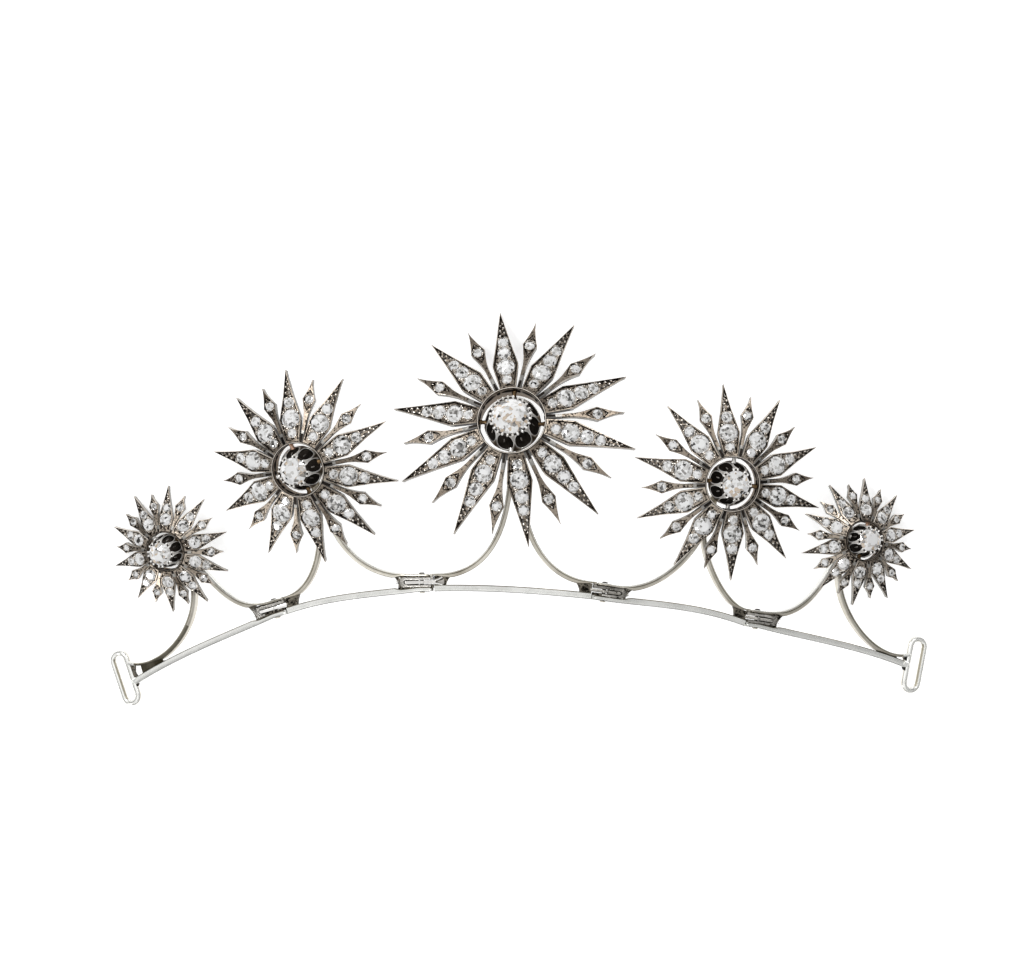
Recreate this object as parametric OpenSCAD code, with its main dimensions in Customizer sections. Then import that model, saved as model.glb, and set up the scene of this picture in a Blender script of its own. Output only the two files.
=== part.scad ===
// Star diadem
//
// Five graduated starburst stars, set with old-cut stones, on a hinged frame of
// flat wire. The middle section carries the largest star. Two sections hinge on
// each side of it and fold back, and a round wire loop ends the frame on either
// side. The piece lies on its back, on one tip each of the middle star and the two
// end stars, with the loops just clear of the floor.
// Units are millimetres. The viewer's left half is built mirrored, so every
// section has x running outward, y up along its own hinge pin and z to the front.

/* [Frame] */

// In-plane width of the wires that carry the stars
wire_width = 1.2; // [0.9:0.1:1.8]

// Front-to-back depth of those wires
wire_depth = 1.6; // [1.2:0.1:2.2]

// Height of the base bar along the lower edge
bar_height = 1.4; // [1:0.1:2]

// Front-to-back depth of the base bar
bar_depth = 1.3; // [1:0.1:2]

// Straight pieces in each curved wire
wire_steps = 14; // [6:2:24]

/* [Hinges] */

// How far the inner hinges stand folded back when they are fully open
inner_fold = 17.3; // [0:0.1:40]

// The same for the outer hinges
outer_fold = 9; // [0:0.1:40]

// Radius of the hinge pins
pin_radius = 0.4; // [0.3:0.05:0.6]

// Radial clearance of a pin in the tongue that turns on it
pin_play = 0.05; // [0.02:0.01:0.1]

// Gap between the tongue and the slot it lies in
slot_gap = 0.1; // [0.06:0.01:0.3]

/* [End loops] */

// Length of the wire loop over its ends
loop_length = 12.9; // [9:0.1:18]

// Width of the loop over its sides
loop_width = 4.9; // [3.5:0.1:8]

// Thickness of the loop's round wire
loop_wire = 1.35; // [1:0.05:2]

/* [Stars] */

// Width of the raised rim round each sunken ray
ray_rim = 0.32; // [0.2:0.02:0.6]

// Depth of the sunken floor that the stones stand in
ray_sink = 0.4; // [0.2:0.05:0.8]

// Wall of the collar and of the coronet inside it
collar_wall = 0.45; // [0.3:0.05:0.8]

// Clear space between a stone and the metal round it
stone_gap = 0.12; // [0.1:0.01:0.3]

// Claws that hold each large stone
claws = 8; // [4:1:12]

/* [View] */

// Piece to show: all of them, or one by its name

/* [Hidden] */

// Names of the pieces

// Hinges on the centre section, seen in it: pin x, pin y, outward lean of the pin
MID_LEFT_PIN = [19.4, -19.1, 1.5];
MID_RIGHT_PIN = [20.0, -21.1, 8.0];

// Hinges on the middle sections, seen in those
END_LEFT_PIN = [34.1, -5.0, 14.5];
END_RIGHT_PIN = [35.5, -1.4, 1.0];

// Where each star sits on its own section: x, y, height of its tips over the frame,
// outward turn, upward pitch, outward spin, row of the size tables, turn of its coronet
CENTRE_STAR = [0.5, 12.1, 3.4, -5.5, 16.5, -8.2, 0, 0];
MID_LEFT_STAR = [24.3, 23.9, 4.4, 0.5, -8.2, 7.8, 1, 18];
MID_RIGHT_STAR = [22.8, 25.2, 4.4, -5.2, -1.7, -11, 1, -1];
END_LEFT_STAR = [18.9, 17.1, 4.4, -3.9, -9, 17.6, 2, 34];
END_RIGHT_STAR = [19.8, 18.3, 4.4, -4.8, 6.8, -0.6, 2, 16];

// Star sizes, largest first: tip radius, height of the collar over the tips, collar
// radius, depth from the collar's rim to where its coronet stands, ray thickness, foot
// radius of the coronet, stone radius, height of the stone's girdle over the collar,
// depth of the collar
SIZES = [
  [26.6, 6.4, 7.5, 3.0, 1.5, 6.0, 4.05, 2.8, 5.2],
  [21.3, 5.1, 6.1, 2.6, 1.4, 4.8, 3.0, 2.6, 3.8],
  [14.1, 3.4, 4.6, 2.0, 1.2, 3.6, 2.55, 2.4, 2.8]
];

// Long rays: half width at the collar, radius of the shoulder, half width there,
// radius of the knee before the tip, half width there
LONG_RAYS = [
  [1.7, 13.2, 2.8, 19.5, 1.45],
  [1.5, 11.0, 2.5, 15.8, 1.2],
  [1.15, 7.4, 1.75, 10.6, 0.85]
];

// Short rays: half width of the stem, radius where the leaf begins, radius where it
// is widest, half width there, radius of its tip
SHORT_RAYS = [
  [0.5, 12.8, 18.3, 1.6, 24],
  [0.5, 10.4, 15.0, 1.45, 19.2],
  [0.45, 6.7, 10.2, 1.2, 12.7]
];

// Stones down a long ray, collar to tip: distance from the centre, stone radius
LONG_STONES = [
  [[9.65, 0.95], [12.75, 1.8], [16.25, 1.35], [19.05, 1.05]],
  [[7.95, 0.9], [11.0, 1.85], [14.3, 1.05]],
  [[7.0, 1.2], [9.45, 0.85]]
];

// The one stone of a short ray: distance from the centre, stone radius
SHORT_STONES = [[18.3, 0.95], [15.0, 0.85], [10.1, 0.7]];

// Rays of each kind in a star
rays = 10;

// Handles of the wires' curves: leaving the star, then arriving at the hinge
CENTRE_LEFT_WIRE = [[-0.4, -3.6], [1.8, -19.6]];
CENTRE_RIGHT_WIRE = [[1.5, -3.4], [2.3, -19.2]];
MID_LEFT_WIRES = [[[20.6, 7.1], [14.6, -0.5]], [[22.0, 15.4], [20.7, -2.0]]];
MID_RIGHT_WIRES = [[[22.6, 12.2], [13.5, -1.9]], [[14.4, 16.8], [26.3, -1.7]]];
END_LEFT_WIRES = [[[14.2, 11.3], [11.7, -0.5]], [[13.0, 2.8], [30.0, -8.9]]];
END_RIGHT_WIRES = [[[14.2, 7.2], [12.2, -0.5]], [[12.9, 9.0], [28.7, -8.5]]];

// Handles of the base bars' curves
CENTRE_BAR = [[-5.4, -21.8], [5.8, -22.6]];
MID_LEFT_BAR = [[9.0, -4.0], [20.1, -4.1]];
MID_RIGHT_BAR = [[9.4, -3.2], [21.2, -1.8]];
END_LEFT_BAR = [[11.9, -4.3], [25.9, -4.9]];
END_RIGHT_BAR = [[11.7, -4.2], [25.8, -4.1]];

// End loops: centre x, centre y, outward lean, height where the wire joins, height
// where the bar joins
LEFT_LOOP = [41.1, -6.7, 4, -4.0, -8.2];
RIGHT_LOOP = [41.4, -6.6, 2, -4.8, -7.0];

// Hinge levels along the pin, down from its head
fork_top = -0.15;
slot_top = -1.25;
slot_floor = -2.15;
fork_bottom = -3.75;
bar_level = fork_bottom + bar_height / 2;
wire_level = fork_top - 0.35;

// Hinge lengths along the section, from the pin
fork_in = -2.3;
fork_out = 4.9;
slot_end = 3.9;
open_to = 1.0;
web_in = -4.3;
web_out = -2.75;
plate_half = 0.8;
slot_back = -0.45;
tongue_back = -0.37;
tongue_front = 0.5;
tongue_tip = slot_end - 0.15;
knuckle_r = 0.82;
head_r = 0.68;
head_h = 0.28;

// Where a bar begins on its fork, clear of the pin's lower head
bar_start = head_r + 0.2;

// How far from a star's centre its wires begin
wire_root = [0.8, -1.5];

// Foot of a star on the frame
foot_depth = 1.4;
foot_r = [2.6, 2.3, 2.2];
stem_r = [1.8, 1.6, 1.4];
foot_gap = 0.1;

// How far a ray's root reaches into the collar, and its drop under the collar's rim
ray_root = 0.2;
ray_drop = 0.3;

// Height of a ray's tip face over the star's lowest plane
tip_lift = 0.2;

// Arches of a coronet: half width as a share of the stone's radius, and height of
// the arch's round foot as a share of the coronet
arch_share = 0.33;
arch_foot = 0.42;

// Radius of a claw, and how much of the stone's crown it covers
claw_wire = 0.32;
claw_cover = 0.4;

// Cut of the stones, as shares of their radius
table_share = 0.56;
crown_share = 0.34;
pavilion_share = 0.8;

// Attitude and position on the floor, so that the lowest points all touch it
lie_tilt = -19.362;
lie_roll = -0.891;
lie_shift = [-1.769, 10.543, 17.314];

// Small reach of a cutter past the face that it cuts
past = 0.5;

// Columns of the tables: lean of a pin or loop, then those of a star and of a loop
function lean(place) = place[2];
function outward_turn(star) = star[3];
function pitch(star) = star[4];
function spin(star) = star[5];
function row_of(star) = star[6];
function coronet_turn(star) = star[7];
function wire_end(loop) = loop[3];
function bar_end(loop) = loop[4];

// Columns of the star sizes
function tip_r(size) = SIZES[size][0];
function dome(size) = SIZES[size][1];
function collar_r(size) = SIZES[size][2];
function collar_h(size) = SIZES[size][3];
function ray_thick(size) = SIZES[size][4];
function collet_r(size) = SIZES[size][5];
function stone_r(size) = SIZES[size][6];
function stone_lift(size) = SIZES[size][7];
function collar_depth(size) = SIZES[size][8];

// Point on the curve from a to d with handles b and c
function curve(a, b, c, d, t) =
  a * pow(1 - t, 3) + b * 3 * pow(1 - t, 2) * t + c * 3 * (1 - t) * t * t + d * pow(t, 3);

// Direction of that curve, as a unit vector
function slope(a, b, c, d, t) =
  let (v = (b - a) * pow(1 - t, 2) + (c - b) * 2 * (1 - t) * t + (d - c) * t * t)
  v / norm(v);

// Side point of a strip of the given width along the curve
function beside(a, b, c, d, t, offset) =
  let (s = slope(a, b, c, d, t)) curve(a, b, c, d, t) + offset * [-s[1], s[0]];

// Point given along and up a hinge pin, seen in the section that carries the pin
function at_pin(pin, along, up) =
  [pin.x + along * cos(lean(pin)) + up * sin(lean(pin)),
   pin.y - along * sin(lean(pin)) + up * cos(lean(pin))];

// The same point on the left of the middle section, whose x is not mirrored
function flip(p) = [-p[0], p[1]];

// Where a wire leaves a star: side is 1 outward and -1 inward
function root(star, side) = [star.x + side * wire_root[0], star.y + wire_root[1]];

// Fall of a star's rays from the collar to the tips
function fall(size) =
  atan((dome(size) - ray_drop - tip_lift) / (tip_r(size) - ray_start(size)));

// Height of a star's coronet foot over its tips
function collet_foot(size) = dome(size) - collar_h(size) + 0.2;

// Height of a large stone's girdle over the star's tips
function girdle(size) = dome(size) + stone_lift(size);

// Where a ray begins, measured from the star's centre
function ray_start(size) = collar_r(size) - ray_root;

// Length down a ray's slope to a distance from the star's centre
function down(size, distance) = (distance - ray_start(size)) / cos(fall(size));

// Outline of a long ray, drawn in by rim on every side, y measured from its root
function long_outline(size, rim) =
  let (ray = LONG_RAYS[size], root_half = ray[0], shoulder = down(size, ray[1]),
    shoulder_half = ray[2], knee = down(size, ray[3]), knee_half = ray[4],
    reach = down(size, tip_r(size)), low = rim > 0 ? 0.75 : 0)
  [[-(root_half - rim), low], [-(shoulder_half - rim), shoulder],
   [-(knee_half - rim), knee], [-0.12, reach - rim * 9], [0.12, reach - rim * 9],
   [knee_half - rim, knee], [shoulder_half - rim, shoulder], [root_half - rim, low]];

// Outline of a short ray with its slender stem
function short_outline(size, rim) =
  let (ray = SHORT_RAYS[size], stem_half = ray[0], stem = down(size, ray[1]),
    wide = down(size, ray[2]), wide_half = ray[3], tip = down(size, ray[4]))
  rim > 0
    ? [[0, stem + rim * 3], [-(wide_half - rim), wide], [0, tip - rim * 4],
       [wide_half - rim, wide]]
    : [[-stem_half, 0], [-stem_half, stem], [-wide_half, wide],
       [-0.3 * wide_half, wide + 0.55 * (tip - wide)], [-0.1, tip], [0.1, tip],
       [0.3 * wide_half, wide + 0.55 * (tip - wide)], [wide_half, wide],
       [stem_half, stem], [stem_half, 0]];

// Lays the whole piece on the floor
module on_floor() {
  translate(lie_shift) rotate([lie_tilt, lie_roll, 0]) children();
}

// Turns to the hinge pin of the section being drawn
module at_hinge(pin) {
  translate([pin.x, pin.y, 0]) rotate([0, 0, -lean(pin)]) children();
}

// Steps out to the section beyond a hinge
module beyond(pin, fold) {
  at_hinge(pin) rotate([0, fold, 0]) children();
}

// The five sections' own places
module on_centre() { on_floor() children(); }

module on_mid_left() {
  on_floor() mirror([1, 0, 0]) beyond(MID_LEFT_PIN, inner_fold) children();
}

module on_mid_right() {
  on_floor() beyond(MID_RIGHT_PIN, inner_fold) children();
}

module on_end_left() { on_mid_left() beyond(END_LEFT_PIN, outer_fold) children(); }

module on_end_right() { on_mid_right() beyond(END_RIGHT_PIN, outer_fold) children(); }

// Turns to a star's own axes: z out of its face, y through its first long ray
module at_star(star) {
  translate([star.x, star.y, star.z])
    rotate([-pitch(star), outward_turn(star), 0]) rotate([0, 0, -spin(star)]) children();
}

// Goes round a star's rays, from a first angle
module round_star(first) {
  for (i = [0 : rays - 1]) rotate([0, 0, first + i * 360 / rays]) children();
}

// Slides to a distance from the star's centre along a ray's sloping face
module on_ray(size, distance) {
  translate([0, ray_start(size), dome(size) - ray_drop]) rotate([-fall(size), 0, 0])
    translate([0, down(size, distance), 0]) children();
}

// Flat wire along a curve
module strip(a, b, c, d, width, depth) {
  translate([0, 0, -depth / 2]) linear_extrude(height = depth) polygon(concat(
    [for (i = [0 : wire_steps]) beside(a, b, c, d, i / wire_steps, width / 2)],
    [for (i = [wire_steps : -1 : 0]) beside(a, b, c, d, i / wire_steps, -width / 2)]));
}

// Plate from one corner to the other, front to back between two levels
module plate(low, high, back, front) {
  translate([low[0], low[1], back])
    cube([high[0] - low[0], high[1] - low[1], front - back]);
}

// Bore along the pin
module pin_bore(radius) {
  translate([0, fork_top + past, 0]) rotate([90, 0, 0])
    cylinder(h = fork_top - fork_bottom + 2 * past, r = radius, $fn = 32);
}

// Slotted plate on the outer section of a hinge, before its slot is cut
module fork_blank() {
  plate([fork_in, fork_bottom], [fork_out, fork_top], -plate_half, plate_half);
}

// What is cut from the fork: the slot, the way through at the pin, and the bore
module fork_cut() {
  plate([fork_in - past, slot_floor], [slot_end, slot_top], slot_back, plate_half + past);
  plate([fork_in - past, slot_floor], [open_to, slot_top], -plate_half - past, 0);
  pin_bore(pin_radius + 0.02);
}

// Tongue and solder web on the inner section of a hinge
module tongue() {
  plate([web_in, fork_bottom], [web_out, fork_top], -0.7, 0.7);
  difference() {
    union() {
      plate([web_out - 0.6, slot_floor + slot_gap], [tongue_tip, slot_top - slot_gap],
        tongue_back, tongue_front);
      translate([0, slot_top - slot_gap, 0]) rotate([90, 0, 0])
        cylinder(h = slot_top - slot_floor - 2 * slot_gap, r = knuckle_r, $fn = 48);
    }
    pin_bore(pin_radius + pin_play);
  }
}

// Riveted pin with a head at each end
module hinge_pin() {
  top = fork_top + 0.02 + head_h;
  bottom = fork_bottom - 0.02 - head_h;
  translate([0, top, 0]) rotate([90, 0, 0]) rotate_extrude($fn = 48) polygon([
    [0, 0], [head_r, 0], [head_r, head_h], [pin_radius, head_h],
    [pin_radius, top - bottom - head_h], [head_r, top - bottom - head_h],
    [head_r, top - bottom], [0, top - bottom]]);
}

// Disc and stem that carry a star
module star_foot(star) {
  size = row_of(star);
  translate([star.x, star.y, -foot_depth / 2])
    cylinder(h = foot_depth, r = foot_r[size], $fn = 48);
  at_star(star) {
    translate([0, 0, -star.z])
      cylinder(h = star.z + collet_foot(size) - foot_gap - 0.4, r = stem_r[size],
        $fn = 48);
    translate([0, 0, collet_foot(size) - foot_gap - 0.8])
      cylinder(h = 0.8, r = collet_r(size) - 0.05, $fn = 64);
  }
}

// Round wire loop at an end of the frame, with its filler plate
module end_loop(place) {
  bend = (loop_width - loop_wire) / 2;
  run = loop_length - loop_width;
  translate([place.x, place.y, 0]) rotate([0, 0, -lean(place)]) {
    for (side = [-1, 1]) translate([side * bend, run / 2, 0]) rotate([90, 0, 0])
      cylinder(h = run, r = loop_wire / 2, $fn = 32);
    translate([0, run / 2, 0]) rotate_extrude(angle = 180, $fn = 64)
      translate([bend, 0]) circle(r = loop_wire / 2, $fn = 32);
    translate([0, -run / 2, 0]) rotate([0, 0, 180]) rotate_extrude(angle = 180, $fn = 64)
      translate([bend, 0]) circle(r = loop_wire / 2, $fn = 32);
  }
  plate([place.x - loop_width / 2 - 0.9, bar_end(place)],
    [place.x - bend, wire_end(place)], -0.5, 0.4);
}

// Frame of the centre section: a bar, two wires, two tongues and the star's foot
module centre_frame() {
  left_end = flip(at_pin(MID_LEFT_PIN, web_out, bar_level));
  right_end = at_pin(MID_RIGHT_PIN, web_out, bar_level);
  strip(left_end, CENTRE_BAR[0], CENTRE_BAR[1], right_end, bar_height, bar_depth);
  strip(root(CENTRE_STAR, 1), CENTRE_RIGHT_WIRE[0], CENTRE_RIGHT_WIRE[1],
    at_pin(MID_RIGHT_PIN, web_out - 0.3, wire_level), wire_width, wire_depth);
  strip(root(CENTRE_STAR, -1), flip(CENTRE_LEFT_WIRE[0]), flip(CENTRE_LEFT_WIRE[1]),
    flip(at_pin(MID_LEFT_PIN, web_out - 0.3, wire_level)), wire_width, wire_depth);
  at_hinge(MID_RIGHT_PIN) tongue();
  mirror([1, 0, 0]) at_hinge(MID_LEFT_PIN) tongue();
  star_foot(CENTRE_STAR);
}

// Frame of a middle section: fork inside, tongue outside
module mid_frame(star, pin, wires, bar) {
  difference() {
    union() {
      fork_blank();
      strip([bar_start, bar_level], bar[0], bar[1], at_pin(pin, web_out, bar_level),
        bar_height, bar_depth);
      strip(root(star, -1), wires[0][0], wires[0][1], [1, wire_level], wire_width,
        wire_depth);
    }
    fork_cut();
  }
  strip(root(star, 1), wires[1][0], wires[1][1],
    at_pin(pin, web_out - 0.3, wire_level), wire_width, wire_depth);
  at_hinge(pin) tongue();
  star_foot(star);
}

// Frame of an end section: fork inside, loop outside
module end_frame(star, place, wires, bar) {
  difference() {
    union() {
      fork_blank();
      strip([bar_start, bar_level], bar[0], bar[1],
        [place.x - loop_width / 2 + 0.5, bar_end(place)], bar_height, bar_depth);
      strip(root(star, -1), wires[0][0], wires[0][1], [1, wire_level], wire_width,
        wire_depth);
    }
    fork_cut();
  }
  strip(root(star, 1), wires[1][0], wires[1][1],
    [place.x - loop_width / 2 + 0.5, wire_end(place)], wire_width, wire_depth);
  end_loop(place);
  star_foot(star);
}

// One ray's metal: outline, sunken floor and stone seats
module ray(size, kind) {
  start = ray_start(size);
  thick = ray_thick(size);
  stones = kind == "long" ? LONG_STONES[size] : [SHORT_STONES[size]];
  difference() {
    on_ray(size, start) translate([0, 0, -thick]) linear_extrude(height = thick)
      polygon(kind == "long" ? long_outline(size, 0) : short_outline(size, 0));
    on_ray(size, start) translate([0, 0, -ray_sink])
      linear_extrude(height = ray_sink + past)
      polygon(kind == "long" ? long_outline(size, ray_rim) : short_outline(size, ray_rim));
    for (s = stones) on_ray(size, s[0]) translate([0, 0, -thick - past])
      cylinder(h = thick + 2 * past, r = (s[1] + stone_gap) / cos(18), $fn = 10);
  }
}

// Thin cone of a coronet from its foot up to the girdle, cut down to claws by tall
// arches that are open at the top
module coronet(size) {
  foot = collet_foot(size);
  rim = girdle(size) - stone_gap;
  arch = arch_share * stone_r(size);
  spring = foot + arch_foot * (rim - foot);
  claw_low = foot + 0.6 * (rim - foot);
  claw_top = girdle(size) + crown_share * stone_r(size) * claw_cover;
  difference() {
    union() {
      rotate_extrude($fn = 72) polygon([[collet_r(size) - collar_wall, foot],
        [collet_r(size), foot], [stone_r(size) + collar_wall, rim], [stone_r(size), rim]]);
      for (i = [0 : claws - 1]) rotate([0, 0, i * 360 / claws])
        translate([0, stone_r(size) + stone_gap + claw_wire, claw_low])
        cylinder(h = claw_top - claw_low, r = claw_wire, $fn = 24);
    }
    for (i = [0 : claws - 1]) rotate([0, 0, (i + 0.5) * 360 / claws]) {
      translate([0, 0, spring]) rotate([-90, 0, 0])
        cylinder(h = collet_r(size) + past, r = arch, $fn = 32);
      translate([-arch, 0, spring]) cube([2 * arch, collet_r(size) + past, claw_top]);
    }
  }
}

// Star: rays, collar, coronet and the four struts that join them
module star_metal(star) {
  size = row_of(star);
  step = dome(size) - collar_h(size);
  low = dome(size) - collar_depth(size);
  round_star(0) ray(size, "long");
  round_star(180 / rays) ray(size, "short");
  rotate_extrude($fn = 96) polygon([[collar_r(size) - collar_wall, low],
    [collar_r(size), low], [collar_r(size), dome(size)],
    [collar_r(size) - collar_wall, dome(size)]]);
  rotate([0, 0, coronet_turn(star)]) coronet(size);
  for (i = [0 : 3]) rotate([0, 0, 10 + i * 90])
    plate([-0.45, collet_r(size) - 0.35], [0.45, collar_r(size) - 0.2], step + 0.4, step + 1.2);
}

// Old-cut stone as one faceted solid: table, crown, pavilion and a small culet
module cut_stone(radius, sides) {
  ring = [for (level = [[0.08, -pavilion_share], [1, 0], [table_share, crown_share]])
    for (i = [0 : sides - 1]) [radius * level[0] * cos(i * 360 / sides),
      radius * level[0] * sin(i * 360 / sides), radius * level[1]]];
  polyhedron(points = ring, faces = concat(
    [[for (i = [0 : sides - 1]) i]],
    [for (k = [0, 1]) for (i = [0 : sides - 1])
      [k * sides + i, (k + 1) * sides + i, (k + 1) * sides + (i + 1) % sides,
       k * sides + (i + 1) % sides]],
    [[for (i = [sides - 1 : -1 : 0]) 2 * sides + i]]));
}

// Large stone in its coronet
module main_stone(size) {
  translate([0, 0, girdle(size)]) rotate([0, 0, 11.25])
    cut_stone(stone_r(size), 16);
}

// Stones of all the rays of a star
module ray_stones(size) {
  round_star(0) for (s = LONG_STONES[size]) on_ray(size, s[0])
    translate([0, 0, -ray_sink]) rotate([0, 0, 22.5]) cut_stone(s[1], 8);
  round_star(180 / rays) on_ray(size, SHORT_STONES[size][0])
    translate([0, 0, -ray_sink]) rotate([0, 0, 22.5]) cut_stone(SHORT_STONES[size][1], 8);
}

// Colours of the view
module white_metal() { color([0.80, 0.80, 0.76]) children(); }

module dark_silver() { color([0.42, 0.38, 0.36]) children(); }

module clear_stone() { color([0.93, 0.94, 0.95]) children(); }

module frame_centre() { white_metal() on_centre() centre_frame(); }

module frame_mid_left() {
  white_metal() on_mid_left()
    mid_frame(MID_LEFT_STAR, END_LEFT_PIN, MID_LEFT_WIRES, MID_LEFT_BAR);
}

module frame_mid_right() {
  white_metal() on_mid_right()
    mid_frame(MID_RIGHT_STAR, END_RIGHT_PIN, MID_RIGHT_WIRES, MID_RIGHT_BAR);
}

module frame_end_left() {
  white_metal() on_end_left()
    end_frame(END_LEFT_STAR, LEFT_LOOP, END_LEFT_WIRES, END_LEFT_BAR);
}

module frame_end_right() {
  white_metal() on_end_right()
    end_frame(END_RIGHT_STAR, RIGHT_LOOP, END_RIGHT_WIRES, END_RIGHT_BAR);
}

module pin_mid_left() { white_metal() on_mid_left() hinge_pin(); }

module pin_mid_right() { white_metal() on_mid_right() hinge_pin(); }

module pin_end_left() { white_metal() on_end_left() hinge_pin(); }

module pin_end_right() { white_metal() on_end_right() hinge_pin(); }

module star_centre() {
  dark_silver() on_centre() at_star(CENTRE_STAR) star_metal(CENTRE_STAR);
}

module star_mid_left() {
  dark_silver() on_mid_left() at_star(MID_LEFT_STAR) star_metal(MID_LEFT_STAR);
}

module star_mid_right() {
  dark_silver() on_mid_right() at_star(MID_RIGHT_STAR) star_metal(MID_RIGHT_STAR);
}

module star_end_left() {
  dark_silver() on_end_left() at_star(END_LEFT_STAR) star_metal(END_LEFT_STAR);
}

module star_end_right() {
  dark_silver() on_end_right() at_star(END_RIGHT_STAR) star_metal(END_RIGHT_STAR);
}

module stone_centre() { clear_stone() on_centre() at_star(CENTRE_STAR) main_stone(0); }

module stone_mid_left() { clear_stone() on_mid_left() at_star(MID_LEFT_STAR) main_stone(1); }

module stone_mid_right() {
  clear_stone() on_mid_right() at_star(MID_RIGHT_STAR) main_stone(1);
}

module stone_end_left() { clear_stone() on_end_left() at_star(END_LEFT_STAR) main_stone(2); }

module stone_end_right() {
  clear_stone() on_end_right() at_star(END_RIGHT_STAR) main_stone(2);
}

module ray_stones_centre() { clear_stone() on_centre() at_star(CENTRE_STAR) ray_stones(0); }

module ray_stones_mid_left() {
  clear_stone() on_mid_left() at_star(MID_LEFT_STAR) ray_stones(1);
}

module ray_stones_mid_right() {
  clear_stone() on_mid_right() at_star(MID_RIGHT_STAR) ray_stones(1);
}

module ray_stones_end_left() {
  clear_stone() on_end_left() at_star(END_LEFT_STAR) ray_stones(2);
}

module ray_stones_end_right() {
  clear_stone() on_end_right() at_star(END_RIGHT_STAR) ray_stones(2);
}

frame_centre();
frame_mid_left();
frame_mid_right();
frame_end_left();
frame_end_right();
pin_mid_left();
pin_mid_right();
pin_end_left();
pin_end_right();
star_centre();
star_mid_left();
star_mid_right();
star_end_left();
star_end_right();
stone_centre();
stone_mid_left();
stone_mid_right();
stone_end_left();
stone_end_right();
ray_stones_centre();
ray_stones_mid_left();
ray_stones_mid_right();
ray_stones_end_left();
ray_stones_end_right();
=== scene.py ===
"""Dressed model of the star diadem: metal with cut rims and grains, faceted stones, light."""

import math
import random

import bpy
import numpy as np
from mathutils import Matrix, Vector


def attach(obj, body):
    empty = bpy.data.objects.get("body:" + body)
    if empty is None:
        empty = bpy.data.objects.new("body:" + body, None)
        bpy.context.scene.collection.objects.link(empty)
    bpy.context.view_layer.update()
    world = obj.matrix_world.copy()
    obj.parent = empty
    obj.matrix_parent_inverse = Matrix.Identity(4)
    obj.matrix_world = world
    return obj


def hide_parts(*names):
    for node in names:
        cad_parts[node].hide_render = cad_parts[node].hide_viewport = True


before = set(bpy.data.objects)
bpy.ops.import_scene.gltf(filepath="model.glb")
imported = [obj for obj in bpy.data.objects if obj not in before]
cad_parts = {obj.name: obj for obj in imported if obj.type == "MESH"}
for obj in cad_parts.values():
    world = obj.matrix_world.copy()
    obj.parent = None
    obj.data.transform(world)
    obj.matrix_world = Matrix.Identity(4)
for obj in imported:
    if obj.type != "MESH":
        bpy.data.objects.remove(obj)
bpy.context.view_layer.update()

MM = 0.001
rng = random.Random(11)


# Places of the sections and stars, in millimetres, as in the part's source

LIE_TILT, LIE_ROLL, LIE_SHIFT = -19.362, -0.891, (-1.769, 10.543, 17.314)
INNER_FOLD, OUTER_FOLD = 17.3, 9.0


def turn(axis, degrees):
    return Matrix.Rotation(math.radians(degrees), 4, axis)


def shift(x, y, z):
    return Matrix.Translation((x, y, z))


def at_hinge(pin):
    """Place of a hinge pin: its x, its y and its outward lean."""
    x, y, lean = pin
    return shift(x, y, 0) @ turn("Z", -lean)


PINS = {
    "mid_left": (19.4, -19.1, 1.5), "mid_right": (20.0, -21.1, 8.0),
    "end_left": (34.1, -5.0, 14.5), "end_right": (35.5, -1.4, 1.0),
}
MIRROR = Matrix.Diagonal((-1, 1, 1, 1))
LIE = shift(*LIE_SHIFT) @ turn("Y", LIE_ROLL) @ turn("X", LIE_TILT)
SECTIONS = {
    "centre": LIE,
    "mid_left": LIE @ MIRROR @ at_hinge(PINS["mid_left"]) @ turn("Y", INNER_FOLD),
    "mid_right": LIE @ at_hinge(PINS["mid_right"]) @ turn("Y", INNER_FOLD),
}
for side in ("left", "right"):
    SECTIONS[f"end_{side}"] = (
        SECTIONS[f"mid_{side}"] @ at_hinge(PINS[f"end_{side}"]) @ turn("Y", OUTER_FOLD)
    )

# Each star's x, y, height of its tips over the frame, turn, pitch, spin and size
STARS = {
    "centre": (0.5, 12.1, 3.4, -5.5, 16.5, -8.2, 0),
    "mid_left": (24.3, 23.9, 4.4, 0.5, -8.2, 7.8, 1),
    "mid_right": (22.8, 25.2, 4.4, -5.2, -1.7, -11, 1),
    "end_left": (18.9, 17.1, 4.4, -3.9, -9, 17.6, 2),
    "end_right": (19.8, 18.3, 4.4, -4.8, 6.8, -0.6, 2),
}
CORONET_TURNS = {"centre": 0, "mid_left": 18, "mid_right": -1, "end_left": 34, "end_right": 16}


def star_place(name):
    """Matrix of a star's own axes: z out of its face, y through its first long ray."""
    x, y, stand, outward, pitch, spin, _ = STARS[name]
    return (
        SECTIONS[name] @ shift(x, y, stand) @ turn("Y", outward)
        @ turn("X", -pitch) @ turn("Z", -spin)
    )


class Size:
    """One of the three star sizes, largest first."""

    def __init__(self, tip, dome, collar, step, depth, thick, collet, stone, lift,
                 long_ray, short_ray, long_stones, short_stone, claw_beads):
        self.tip, self.dome, self.collar, self.depth = tip, dome, collar, depth
        self.thick, self.collet, self.stone, self.lift = thick, collet, stone, lift
        self.long_ray, self.short_ray = long_ray, short_ray
        self.long_stones, self.short_stone = long_stones, short_stone
        self.claw_beads = claw_beads
        self.start = collar - 0.2
        self.fall = math.degrees(math.atan((dome - 0.5) / (tip - self.start)))
        self.foot = dome - step + 0.2
        self.girdle = dome + lift

    def along(self, distance):
        """Distance from the centre, measured from the ray's root down its slope."""
        return (distance - self.start) / math.cos(math.radians(self.fall))

    def on_ray(self, distance=None):
        """Place on a ray's sloping face, y down the ray and z out of the face."""
        base = shift(0, self.start, self.dome - 0.3) @ turn("X", -self.fall)
        return base if distance is None else base @ shift(0, self.along(distance), 0)


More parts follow.
